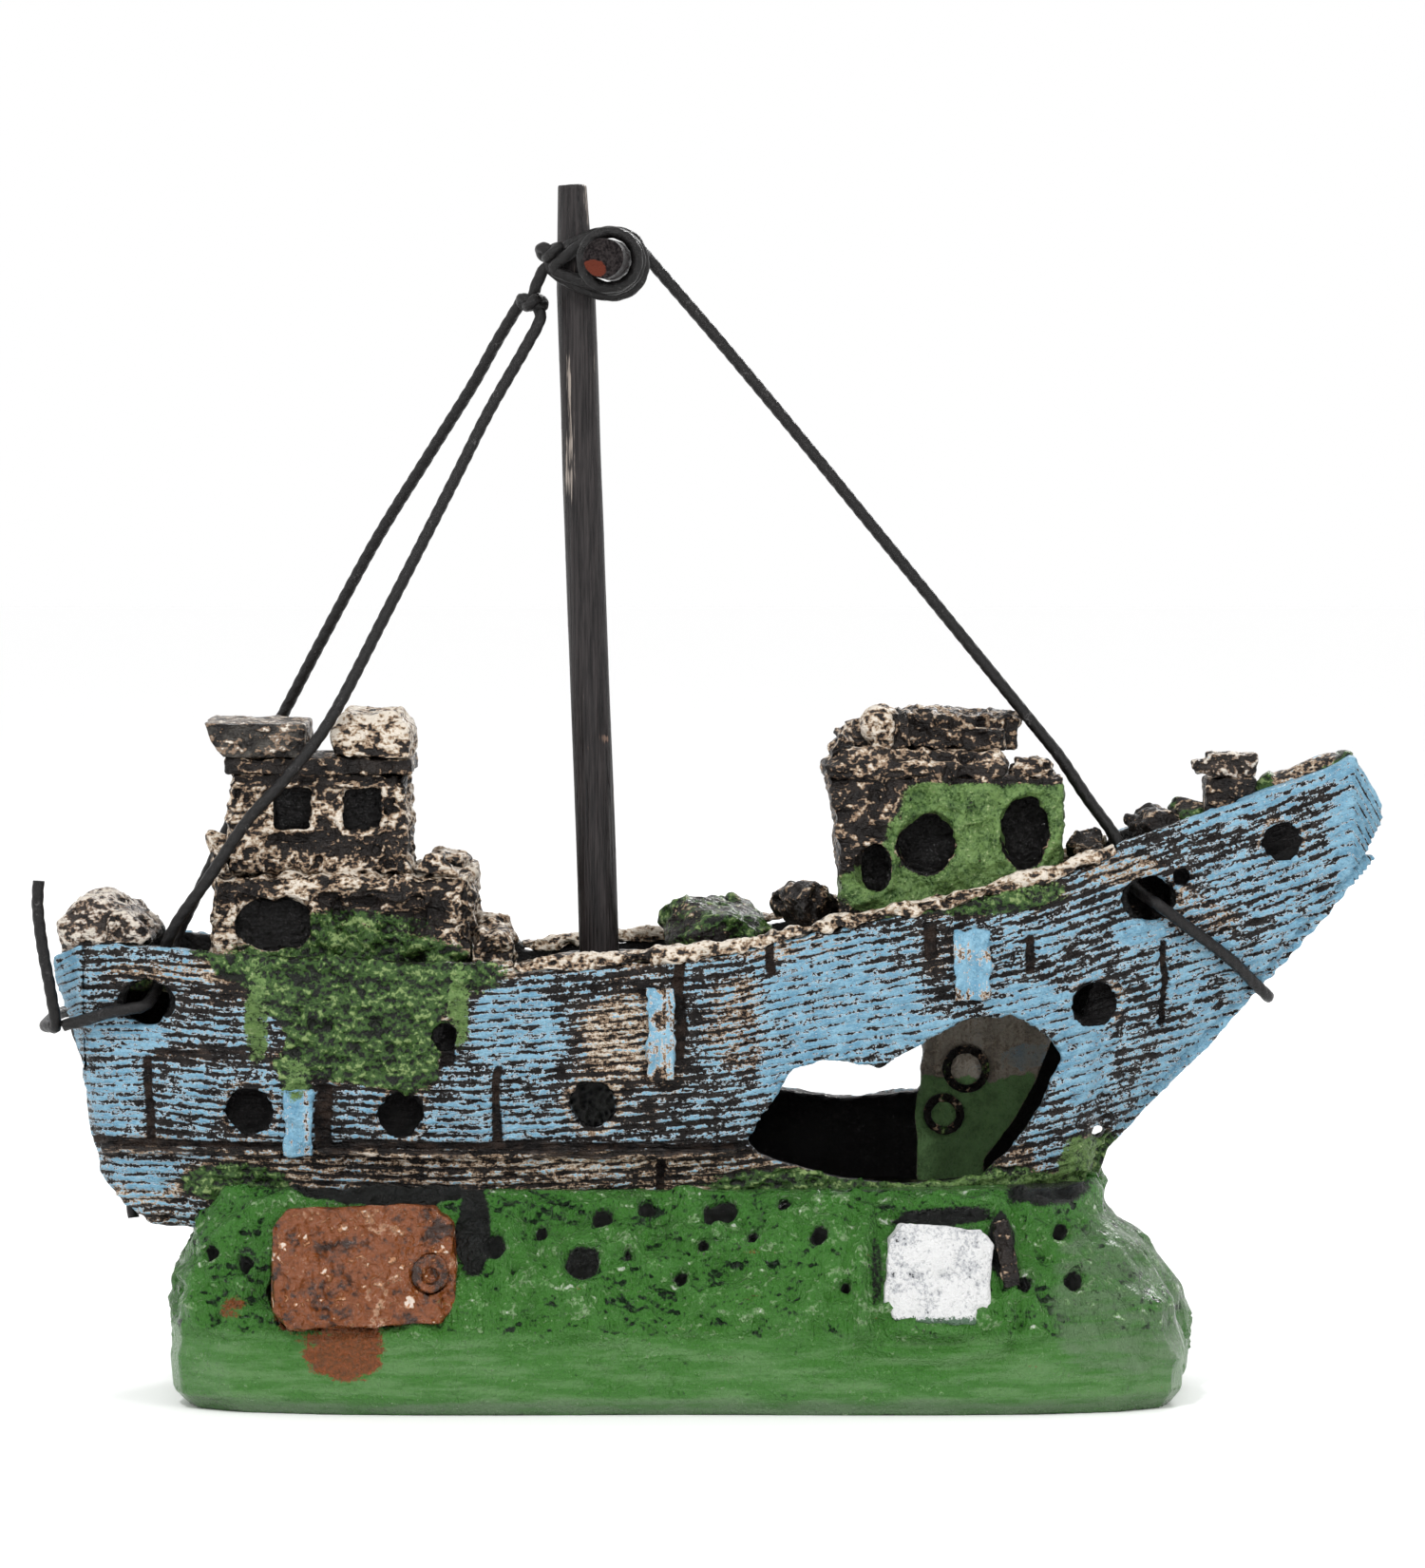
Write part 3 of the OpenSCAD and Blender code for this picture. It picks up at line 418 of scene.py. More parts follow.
# Black in the pits, and as painted shade beside and under the crates
green = reef.coat((reef.carried("pit") * 1.2 + speck * 0.9).step(0.35, 0.7), green, PIT_BLACK)
reef.set(Base_Color=green, Roughness=(speck + 0.5).step(0.3, 0.75).ease(0.1, 0.3),
         Specular_IOR_Level=0.36)
knobs = (1 - reef.cells(1.5, shift=4)) * (1 - band)
reef.bump(blades * 1.3 * (1 - band * 0.6) + speck * 0.8 + knobs * 0.35 + painted_sheen_patch * 0.3 - painted_shade_below * 0.4, 0.8)

cast("reef", "reef_base", 0.42, carve_reef, reef, "reef_resin")

# ---- The crates on the reef ----
# Two cargo chests half sunk in the rock, cast with it and picked out by brush: one in glossy brown with
# a hasp, the other in silver with the black of the first coat left in its hollows.


def eased(p, worn, depth):
    """The surface of a soft old box: every corner worn back."""
    middle = (p.max(0) + p.min(0)) / 2
    half = (p.max(0) - p.min(0)) / 2
    near = np.sort(np.abs(p - middle) / half, axis=1)
    return worn - depth * rise(near[:, 1], 0.7, 1.05) ** 2


def carve_brown(p, n):
    dents = crags(p, 3.2, 31, 2)
    runs = 1 - 2 * np.abs(lumps(p, [2.2, 2.2, 5], 34))
    return eased(p, 0.22 * dents + 0.2 * runs - 0.1, 0.9), {"worn": 0.5 * dents + 0.5 * runs}


brown = Finish("brown crate paint")
speck = brown.noise(0.5, 3, 0.6, shift=4) - 0.5
blot = brown.noise(3.2, 3, 0.6, shift=16) - 0.5
# Painted light from above on the brown paint's lumps
painted_toplight = brown.relief(1.8, stretch=(1, 1, 1.6), shift=45) + brown.relief(0.8, shift=46) * 0.6
# worn holds the real wear together with the painted light, and the dark and pale browns follow both
worn = brown.carried("worn") * 0.3 + speck * 0.6 + blot * 0.8 + painted_toplight * 1.6
paint = brown.coat((worn + 0.4).step(0.0, 0.5), srgb(52, 28, 14), srgb(134, 70, 24))
paint = brown.coat(worn.step(0.26, 0.5), paint, srgb(196, 150, 118))
paint = brown.coat((blot + speck * 0.4).step(0.2, 0.27) * 0.7, paint, srgb(92, 84, 36))
# Painted sheen and near-white glints on the brown
painted_sheen = painted_toplight + speck * 0.2 + brown.carried("worn") * 0.02
painted_sheen_patch = painted_sheen.step(0.12, 0.2)
paint = brown.coat(painted_sheen_patch * 0.6, paint, srgb(204, 140, 92))
paint = brown.coat(painted_sheen.step(0.22, 0.26) * 0.85, paint, srgb(240, 226, 212))
brown.set(Base_Color=paint, Roughness=(speck + 0.5).step(0.3, 0.8).ease(0.14, 0.3),
          Specular_IOR_Level=0.42)
brown.bump(speck * 0.6 + painted_sheen_patch * 0.4 + brown.crest(2.6, 0.07, shift=12) * 0.3, 0.7)
cast("brown_crate", "brown_crate", 0.25, carve_brown, brown, "brown_resin")


def carve_hasp(p, n):
    centre = (p.max(0) + p.min(0)) / 2
    d = np.hypot(p[:, 0] - centre[0], p[:, 2] - centre[2])
    return 0.12 * lumps(p, 1.1, 36) - 0.6 * (1 - rise(d, 0.5, 0.9)) + 0.1, {"worn": lumps(p, 1.4, 38) - 0.6}


cast("crate_hasp", "brown_crate_hasp", 0.13, carve_hasp, brown, "brown_resin")


def carve_silver(p, n):
    worn = crags(p, 2.2, 41)
    dint = rise(lumps(p, 0.9, 43), 0.45, 0.8)
    low = 1 - rise(p[:, 2], 8.6, 10.3)
    return eased(p, 0.22 * worn - 0.18 * dint, 0.8), {"worn": worn - 1.6 * dint, "weed": low}


silver = Finish("silver crate paint")
speck = silver.noise(0.36, 3, 0.7, shift=6) - 0.5
blot = silver.noise(2.0, 2, 0.5, shift=31) - 0.5
worn = silver.carried("worn") * 0.12 + speck * 1.1 + blot * 0.5
metal = silver.coat((worn + 0.34).step(0.0, 0.1), srgb(40, 42, 42), srgb(206, 208, 212))
metal = silver.coat((worn + 0.2).step(0.0, 0.2), metal, srgb(255, 255, 255))
metal = silver.coat((silver.carried("weed") + speck * 1.5).step(0.45, 0.6), metal, srgb(90, 120, 96))
silver.set(Base_Color=metal, Roughness=(speck + 0.5).step(0.3, 0.7).ease(0.22, 0.42))
silver.bump(speck * 0.8 + worn * 0.4, 0.4)
cast("silver_crate", "silver_crate", 0.2, carve_silver, silver, "silver_resin")

# ---- The hull ----
# The wreck's sides are cast with raked planking and butts. They are sprayed black-brown, then dry-brushed
# in sky blue and tan, so the paint takes only on the ridges and the edges. Inside they stay glossy black.

SHEER = [[-64.3, 43], [-62, 44.2], [-55, 44.4], [-48, 43.6], [-24, 42.8], [-10, 44], [0, 44.8], [13, 47.8],
         [22, 49.4], [31, 51.6], [38, 54], [45, 56.3], [52, 58.5], [58, 60.6], [61.4, 62.2], [64.2, 57.2]]
KEEL = [[-64.3, 40], [-63, 36.5], [-62, 33], [-61, 26], [-60, 22], [-58, 19.2], [-55, 17], [34, 17],
        [35.5, 19], [36.5, 24], [41, 29], [45, 33], [52, 40.5], [58, 47], [62.6, 52.4], [64.2, 56]]
HALF_SHEER = [[-64.3, 10.5], [-62, 12.4], [-55, 14.6], [-40, 17], [-20, 18.5], [0, 18.5], [15, 17],
              [30, 14], [45, 9], [55, 5.4], [61, 3.4], [64.2, 2.4]]
HALF_KEEL = [[-64.3, 7], [-60, 7.5], [-55, 8.5], [-40, 11.5], [-20, 13], [0, 13], [15, 11],
             [30, 6], [36, 2.8], [45, 2], [64.2, 1.8]]
# A plank's depth where the sheer is PLANK_FOOT high, and how much more for each millimetre above that
PLANK_DEPTH = 0.54
PLANK_SPREAD = 0.014
PLANK_FOOT = 20.7
# The butts between planks: X, lowest and highest Z, and width
BUTTS = [(-4.1, 33.6, 43.2, 1.1), (-21.5, 25.6, 33, 0.9), (-55.2, 25, 33.8, 0.9), (-6, 20.4, 25.4, 0.9),
         (-38.2, 25, 31.2, 1.6), (42.8, 36, 44.6, 0.7), (29.6, 41.6, 45.4, 0.9), (4.8, 41.8, 45, 1.0),
         (-26.6, 33, 35.4, 1.6), (19.9, 43.2, 46.6, 1.2)]
PORTHOLES = [(-45.4, 28.6, 2.3), (-30.8, 28.3, 2.2), (-12.4, 29.3, 2.2), (35.9, 38.5, 2.2), (54.3, 54, 1.9),
             (44.4, 50.6, 0.9), (-26.7, 36, 1.3)]
# Where the brush went over more than the ridges: X, Z, half length, half height and how much paint
BLUE_AREAS = [(-19.4, 36.4, 5.4, 5.4, 0.72), (-22, 28, 8, 2.8, 0.62), (-57.4, 35.4, 5, 2.2, 0.74),
              (-58.6, 29.4, 3.4, 4.4, 0.7), (-51.4, 29.6, 3.2, 3.8, 0.6), (11.5, 38.4, 9, 6, 0.8),
              (6.6, 32.4, 3.6, 3.4, 0.84), (16, 36.4, 10, 1.9, 0.84), (30, 38.6, 5, 2.6, 0.84),
              (35, 33.6, 3.4, 6, 0.84), (14, 44.5, 8, 1.6, 0.66), (30, 44.6, 6, 2, 0.6),
              (46, 41.6, 6, 4.4, 0.68), (53, 50, 7, 4, 0.66), (-56, 22, 5, 2.2, 0.66),
              (-8, 28.4, 6, 3.4, 0.56), (40.6, 45.4, 3.2, 1.6, 0.9), (27.6, 48.4, 3, 1.4, 0.9),
              (-10, 38.5, 3.4, 3.4, 0.56)]
TAN_AREAS = [(-9.6, 36, 4.4, 4.6, 0.66), (2.2, 37, 5, 5.4, 0.62), (-52, 42, 9, 1.2, 0.6),
             (6, 44.6, 7, 1.6, 0.74), (-55, 25, 5, 1.2, 0.66), (-55.6, 20.6, 4.4, 1.8, 0.72),
             (-34.4, 24.6, 1.6, 0.9, 0.95), (45, 46.4, 6, 3.6, 0.62), (-27, 24, 9, 1.0, 0.62),
             (-12, 23.6, 14, 0.8, 0.62), (38.6, 51.6, 4.4, 1.8, 0.72), (22, 31, 8, 6, 0.5)]
MOSS_AREAS = [(-34, 42.4, 13, 3.6, 1.0), (-47, 21.4, 5.4, 2, 0.9), (36.6, 21.4, 3, 4.4, 1.0),
              (24, 49.4, 9, 2.0, 0.9), (7, 21.4, 9, 1.6, 0.8), (24, 20.6, 10, 2.2, 1.0),
              (-40.8, 31.4, 1.6, 2, 0.7)]
# Where the paint has worn off: X, Z, half length, half height and how much
WORN_AREAS = [(-9, 34, 6, 9, 0.5), (20.4, 44.6, 2.4, 3, 0.35), (-48, 34, 7, 1.0, 0.4),
              (-51, 40.6, 8, 2.4, 0.3)]
# Thin green brushed past the edges of the moss, and over the foot of the hull
WEED_AREAS = [(-44.6, 37.6, 1.2, 5.2, 1.0), (-25.2, 38.4, 1.2, 4.6, 0.9), (-41, 31.6, 1.6, 2.6, 0.8),
              (26, 20.6, 12, 1.7, 1.0), (35.2, 22, 2.6, 4.2, 1.0), (5, 19.8, 9, 1.4, 0.8),
              (26, 49.6, 5.6, 1.5, 0.8)]
# The scoops cut round the rope holes: X, Z, half length and half height
SCOOPS = [(41.2, 48.7, 2.9, 2.3), (-55.4, 39.0, 3.2, 2.2)]


def along(table, x):
    return np.interp(x, *np.array(table).T)


def half_breadth(x, z):
    low, top = along(HALF_KEEL, x), along(HALF_SHEER, x)
    t = np.clip((z - along(KEEL, x)) / (along(SHEER, x) - along(KEEL, x)), 0, 1)
    return low + (top - low) * np.sin(t * math.pi / 2) ** 0.8


def lane_of(p):
    """Which plank a point lies on, counted down from the sheer. The planks fan out towards the bow."""
    sheer = along(SHEER, p[:, 0])
    return (sheer - p[:, 2]) / (PLANK_DEPTH + PLANK_SPREAD * (sheer - PLANK_FOOT))


def most(p, areas):
    """The greatest amount that any of the areas gives each point."""
    return np.maximum.reduce([amount * patch(p, x, z, rx, rz) for x, z, rx, rz, amount in areas])


def hull_paint(p, face):
    """How much blue, tan, moss and bare seam each point of the outside gets."""
    x, z = p[:, 0], p[:, 2]
    sheer, keel = along(SHEER, x), along(KEEL, x)
    ragged = 1.2 * crags(p, 3, 49)
    left = np.interp(z, [29.6, 33, 37, 40, 43.5], [-41.5, -42.5, -42.6, -45.5, -50])
    dab = np.minimum.reduce([x - left, -26.2 - x, z - 30.6]) + ragged
    moss = np.maximum(rise(dab, -0.6, 1.0), most(p, MOSS_AREAS))
    below_wale = 1 - rise(z, 24.6, 25.6)
    chafed = 0.8 * between(x, -22, 3, 2) * rise(z, sheer - 2.2, sheer - 0.9)
    tan = np.maximum.reduce([np.full(len(p), 0.34), most(p, TAN_AREAS), chafed,
                             0.48 * below_wale * (x < 34)])
    stem_band = 0.72 * rise(x, 38, 41) * (1 - rise(z - keel, 2.6, 5.0))
    bow_strip = 0.78 * between(x, 44, 62, 2) * rise(z, sheer - 2.4, sheer - 1.2)
    ends = np.maximum(0.86 * rise(x, 56.5, 60.5), 0.8 * (1 - rise(x, -62.6, -60.4)))
    blue = np.maximum.reduce([np.full(len(p), 0.44), most(p, BLUE_AREAS), stem_band, bow_strip, ends])
    worn_off = np.maximum(most(p, WORN_AREAS), 0.5 * below_wale * (x > -48) * (x < 30))
    blue = blue * (1 - worn_off) - 0.04
    seam = np.zeros(len(p))
    for bx, low, high, wide in BUTTS:
        wander = bx + 0.35 * lumps(p, 3.2, 47)
        gap = 1 - rise(np.abs(x - wander), 0.25 * wide, 0.7 * wide)
        seam = np.maximum(seam, gap * between(z, low, high, 0.4))
    wale = ridge(z, 25.1 + 0.3 * lumps(p, [9, 9, 9], 48), 0.42) * (x < 2.5)
    wale = np.maximum(wale, 0.9 * ridge(z, 34.1, 0.3) * between(x, -54.8, -45.6, 0.5))
    return {"moss": moss * face, "tan": tan * (1 - 0.6 * wale),
            "blue": blue * (1 - 0.8 * wale) - 0.5 * moss * face,
            "seam": np.maximum(seam, 0.8 * wale) * (1 - moss) * face}


def carve_hull(p, n):
    x, y, z = p.T
    outer = half_breadth(x, z)
    depth = outer - np.abs(y)
    facing = n[:, 1] * np.sign(y)
    face = (1 - rise(depth, 0.25, 0.7)) * rise(facing, 0.0, 0.3)
    # the whole thickness of the bow is outside, since the hold ends behind it
    face = np.maximum(face, rise(x, 50, 52))
    inside = rise(depth, 0.9, 1.4) * (1 - rise(x, 49.5, 51)) * rise(-facing, -0.2, 0.2)
    carried = hull_paint(p, 1 - inside)
    lane = lane_of(p)
    rib = np.cos(lane * 2 * math.pi)
    rough = crags(p, [3.6, 2, 0.9], 51)
    chips = rise(lumps(p, [1.6, 1.6, 1.0], 53), 0.42, 0.8)
    out = face * (0.11 * rib + 0.10 * rough - 0.35 * chips - 0.55 * carried["seam"])
    out += 0.28 * (1 - face) * (1 - inside) * crags(p, 1.6, 55)
    tuft = 1 - 2.2 * np.abs(lumps(p, [1.5, 1.5, 1.2], 57))
    out += face * rise(carried["moss"], 0.3, 0.8) * (0.35 * tuft + 0.3 * crags(p, 3.2, 58) - 0.05)
    pit = np.zeros(len(p))
    for px, pz, r in PORTHOLES:
        d = np.hypot(x - px, z - pz) / r * (1 + 0.10 * lumps(p, 1.2, 60))
        rim = ridge(d, 1.2, 0.14) * face
        out += 0.22 * rim
        carried["tan"] = carried["tan"] + 0.35 * rim
        pit = np.maximum(pit, 1 - rise(d, 0.94, 1.06))
    for px, pz, rx, rz in SCOOPS:
        d = np.hypot((x - px) / rx, (z - pz) / rz)
        scoop = 1 - rise(d, 0.8, 1.0)
        pit = np.maximum(pit, scoop)
        out -= 0.5 * scoop * face
    edge = (1 - face) * (1 - inside)
    carried["blue"] = np.where(edge > 0.5, carried["blue"] + 0.15, carried["blue"])
    # the far wall's scenery, ahead of the gap: rock over weed with a splash of blue
    fore_edge = np.interp(z, [22, 26, 30, 34, 36], [25.4, 28.4, 30.6, 32.2, 32])
    scenery = rise(x + 0.9 * lumps(p, 2.6, 66), 19.2, 19.8) * (1 - rise(x - fore_edge, 0, 0.8))
    scenery = scenery * inside * (y > 0)
    low = 1 - rise(z + 0.8 * lumps(p, 2, 64), 29.2, 30.4)
    carried["fresh"] = scenery * low + 0.62 * most(p, WEED_AREAS) * face
    carried["tan"] = np.where(inside > 0.5, scenery * 0.66, carried["tan"])
    splash = 0.7 * scenery * patch(p, 30, 32.2, 2.4, 1.3)
    carried["blue"] = np.where(inside > 0.5, splash, carried["blue"])
    # The far wall's scenery is painted lighter, as painted light in the shade of the hold
    carried["lit"] = scenery
    out += 0.5 * scenery * crags(p, 3, 62)
    carried["lane"] = np.where(inside > 0.5, 0.25, lane)
    carried["worn"] = rough * 0.6 - 1.2 * chips * face + 0.5 * tuft * rise(carried["moss"], 0.3, 0.8)
    carried["black"] = np.maximum(inside * (1 - scenery), pit)
    return out, carried


def painted_casting(name, planked=False, grain=0.34, tan=(218, 196, 168), bare=(50, 44, 41)):
    """Black-brown resin dry-brushed in tan and then in blue, with moss dabbed over it. The more paint a
    point carries, the lower down the relief it reaches."""
    made = Finish(name)
    speck = made.noise(grain, 3, 0.7, shift=4) - 0.5
    dapple = made.noise(1.8, 3, 0.6, shift=8) - 0.5
    worn = made.carried("worn")
    # Painted light from above on the thick paint
    painted_toplight = made.relief(1.1, shift=47)
    if planked:
        lane = made.carried("lane")
        fore_and_aft = made.node("ShaderNodeSeparateXYZ", 0, {}, {0: made.place})
        flow = made.node("ShaderNodeCombineXYZ", 0, {}, {"X": fore_and_aft, "Y": lane})
        sway = made.noise(3.0, 2, 0.5, stretch=(2, 1, 1), shift=13, place=flow) - 0.5
        dash = made.noise(0.36, 3, 0.65, stretch=(4.4, 1, 1), shift=3, place=flow) - 0.5
        crest = ((lane + sway) * (2 * math.pi)).math("COSINE") * 0.5 + 0.5
        relief = crest.math("POWER", 0.5) * 0.6 + dash * 2.5 + speck * 2.0 + worn * 0.14
    else:
        scratch = made.noise(0.5, 3, 0.65, stretch=(2.6, 1, 0.7), shift=5) - 0.5
        relief = made.crest(1.3, 0.07, shift=15) * 0.2 + scratch * 1.6 + speck
        # Without planks, the painted light from above also decides where the tan and blue take
        relief = relief + painted_toplight * 1.7 + worn * 0.3 + 0.2
    relief = relief + dapple * 0.8
    dark = made.coat((dapple + 0.5).step(0.35, 0.7), srgb(24, 20, 19), srgb(*bare))
    tanned = relief + made.carried("tan") * 1.2 - 0.98
    tan_and_highlight = made.coat(tanned.step(0.05, 0.45), srgb(150, 122, 98), srgb(*tan))
    # The near-white on the highest crests is a painted highlight
    tan_and_highlight = made.coat(tanned.step(0.28, 0.48), tan_and_highlight, srgb(250, 238, 222))
    colour = made.coat(tanned.step(0.0, 0.08), dark, tan_and_highlight)
    patchy = made.noise(3.4, 3, 0.6, shift=17) - 0.5
    blued = relief + patchy * 0.7 + made.carried("blue") * 1.2 - 0.98
    sky = made.coat((speck + dapple + 0.5).step(0.3, 0.75), srgb(122, 178, 210), srgb(164, 214, 240))
    colour = made.coat(blued.step(0.0, 0.07), colour, sky)
    # A near-white line along the edge of the blue is a painted highlight
    rim = blued.step(0.0, 0.04) * (1 - blued.step(0.07, 0.18))
    colour = made.coat(rim * 0.85, colour, srgb(244, 248, 250))
    seam = (made.carried("seam") + speck * 0.9).step(0.35, 0.6)
    tar = made.coat((dapple + 0.5).step(0.4, 0.6), srgb(22, 18, 17), srgb(58, 46, 39))
    colour = made.coat(seam, colour, tar)
    tendril = made.crest(1.5, 0.12, shift=27)
    # The moss's dark and pale greens follow the painted light from above as well as its tendrils and specks
    leaf = tendril * 0.22 + speck + worn * 0.2 + painted_toplight * 1.6
    moss = made.coat((leaf + 0.08).step(0.0, 0.24), srgb(18, 24, 16), srgb(60, 92, 40))
    moss = made.coat(leaf.step(0.26, 0.5), moss, srgb(142, 166, 104))
    covered = (made.carried("moss") + speck * 1.2 + dapple * 0.8).step(0.44, 0.56)
    colour = made.coat(covered, colour, moss)
    fresh = (made.carried("fresh") + speck + dapple * 1.3).step(0.4, 0.6)
    sap = made.coat((speck + dapple + 0.5).step(0.2, 0.7), srgb(46, 78, 34), srgb(116, 148, 84))
    sap = made.coat((tendril * 0.3 + speck).step(0.3, 0.5), sap, srgb(176, 190, 140))
    colour = made.coat(fresh, colour, sap)
    # Lighter copies of the scenery's paint, as painted light inside the shaded hold
    lit = made.coat(fresh, srgb(206, 196, 180), srgb(150, 196, 132))
    colour = made.coat(made.carried("lit") * (0.72 + dapple * 1.2), colour, lit)
    black = (made.carried("black") + speck * 0.5).step(0.42, 0.6)
    hollow = made.coat((speck + 0.5).step(0.5, 0.8), srgb(12, 11, 11), srgb(40, 37, 36))
    colour = made.coat(black, colour, hollow)
    made.set(Base_Color=colour, Roughness=black.ease(0.3, 0.14) + speck * 0.3,
             Specular_IOR_Level=0.22)
    made.bump(relief * (1 - covered) * 0.8 + leaf * covered * 0.8 - seam * 0.3, 0.3)
    return made


hull_finish = painted_casting("blue hull paint", planked=True)
for piece, node, voxel in (("starboard_hull", "hull_starboard", 0.35), ("port_hull", "hull_port", 0.35),
                           ("stem", "stem_post", 0.2), ("transom_planks", "transom", 0.22)):
    cast(piece, node, voxel, carve_hull, hull_finish, "hull_resin")


def carve_trim(p, n):
    _, carried = carve_hull(p, n)
    carried["blue"] = np.full(len(p), 0.66)
    carried["tan"] = np.full(len(p), 0.86)
    carried["seam"] *= 0
    carried["black"] *= 0
    carried["moss"] *= 0.3
    carried["lane"] = 0.3 + 0.2 * lumps(p, 2, 60)
    return 0.3 * crags(p, 1.2, 61), carried


for fender in ("aft", "waist", "fore"):
    cast(fender + "_fender", "fender_" + fender, 0.16, carve_trim, hull_finish, "hull_resin")


def carve_wale(p, n):
    _, carried = carve_hull(p, n)
    carried["blue"] *= 0.35
    carried["tan"] *= 0.8
    carried["black"] *= 0
    carried["seam"] = 0.35 + 0.3 * lumps(p, [4, 2, 1], 63)
    return 0.2 * crags(p, [2, 1, 0.8], 65) - 0.15, carried


for side in ("starboard", "port"):
    cast(side + "_wale", "wale_" + side, 0.16, carve_wale, hull_finish, "dark_resin")

# ---- The cabins and the wreckage ----
# All the upper works are one rough casting in the same black-brown resin, dry-brushed in tan so that the
# broken edges catch the paint, with moss dabbed over the lower parts.


def rubble(seed, rough, tan, size=2.6, moss=None, blue=0.0, holes=(), dark=()):
    """A carve for broken cabin work: how rough it is, and how much tan and blue it carries. Holes, and
    the corners that get painted shade, are given as X, Z, half length and half height, and holes also
    by how square they are."""
    def carve(p, n):
        broken = crags(p, [size, size, size * 0.75], seed)
        crest = 1 - 2.4 * np.abs(lumps(p, size * 0.6, seed + 4))
        hole = np.zeros(len(p))
        wall = rise(-n[:, 1], 0.1, 0.4)
        amount = np.full(len(p), tan) + 0.10 * rise(n[:, 2], 0.1, 0.8)
        out = rough * (0.5 * broken + 0.4 * crest - 0.25)
        for hx, hz, rx, rz, square in holes:
            across, up = np.abs((p[:, 0] - hx) / rx), np.abs((p[:, 2] - hz) / rz)
            d = (across ** square + up ** square) ** (1 / square) * (1 + 0.08 * lumps(p, 1.3, seed + 8))
            hole = np.maximum(hole, 1 - rise(d, 0.94, 1.06))
            lip = ridge(d, 1.16, 0.12)
            amount += 0.22 * lip * wall
            out = out * (1 - (1 - rise(d, 0.9, 1.3)) * wall) + 0.2 * lip * wall
        # Less tan in the corners that get painted shade
        for dx, dz, rx, rz in dark:
            amount -= 0.3 * patch(p, dx, dz, rx, rz)
        green = np.zeros(len(p)) if moss is None else moss(p)
        tuft = 1 - 2.2 * np.abs(lumps(p, 1.3, seed + 6))
        out += rise(green, 0.35, 0.7) * 0.3 * tuft * (1 - hole)
        return out, {"worn": 0.5 * broken + 0.7 * crest, "tan": amount, "blue": np.full(len(p), blue - 0.2),
                     "moss": green * (1 - hole), "black": hole}
    return carve


def dabs(seed, size, thin, thick):
    """Moss in dabs of that size, from a thin amount to a thick one."""
    return lambda p: thin + (thick - thin) * rise(lumps(p, size, seed), -0.3, 0.5)


def aft_moss(p):
    return np.maximum(patch(p, -36, 43.0, 12, 2.6), 0.62 * patch(p, -38, 46.2, 10, 1.6))


def fore_moss(p):
    slope = rise(p[:, 0] - 0.5 * np.abs(p[:, 2] - 51), 13.0, 14.6)
    return np.maximum(0.62 * slope * (1 - rise(p[:, 2], 59.4, 60.4)), 0.7 * patch(p, 16, 49.6, 5, 2.4))


def fore_carve(p, n):
    out, carried = rubble(111, 0.7, 0.4, moss=fore_moss, holes=FORE_HOLES)(p, n)
    carried["fresh"] = 1.3 * carried["moss"] * (1 - carried["black"])
    return out, carried


cabin_finish = painted_casting("tan cabin paint")
grey_finish = painted_casting("grey roof paint", grain=0.6, tan=(140, 136, 128), bare=(92, 88, 82))
chalk_finish = painted_casting("chalky paint", tan=(226, 220, 212), bare=(74, 66, 62))

WINDOWS = [(-41.5, 57.2, 1.85, 2.0, 6), (-34.8, 57.3, 1.85, 2.0, 6)]
AFT_HOLES = [(-43.2, 46.3, 3.6, 2.5, 2.6)]
# Where the cabins get painted shade: X, Z, half length and half height
AFT_PAINTED_SHADE = [(-33.4, 47.2, 7, 2.6), (-46, 49.4, 3, 1)]
WHEELHOUSE_PAINTED_SHADE = [(-36, 54, 7, 1.4), (-38, 60.2, 9, 0.8)]
FORE_HOLES = [(19.8, 54, 2.9, 2.9, 2), (29.3, 55, 2.4, 3.6, 2), (14.9, 51.6, 1.5, 2.4, 2)]
RAIL_HOLES = [(-54.4, 43.6, 1.6, 1.5, 2)]
aft_carve = rubble(71, 1.25, 0.66, moss=aft_moss, holes=AFT_HOLES, dark=AFT_PAINTED_SHADE)
wheelhouse_carve = rubble(75, 0.9, 0.65, 1.9, holes=WINDOWS, dark=WHEELHOUSE_PAINTED_SHADE)
rail_carve = rubble(103, 0.9, 0.62, 2.8, blue=0.05, holes=RAIL_HOLES)
cap_carve = rubble(167, 0.35, 0.62, 1.3, blue=0.2)
cast("aft_cabin", "aft_cabin", 0.28, aft_carve, cabin_finish, "cabin_resin")
cast("wheelhouse_walls", "wheelhouse", 0.24, wheelhouse_carve, cabin_finish, "cabin_resin")
cast("fore_cabin", "fore_cabin", 0.26, fore_carve, cabin_finish, "moss_resin")
cast("aft_roof_slab", "roof_slab_aft", 0.22, rubble(83, 0.3, 0.46), grey_finish, "cabin_resin")
cast("stern_rail", "stern_rail", 0.2, rail_carve, chalk_finish, "cabin_resin")
cast("bollard_head", "bollard_cap", 0.14, cap_carve, chalk_finish, "silver_resin")

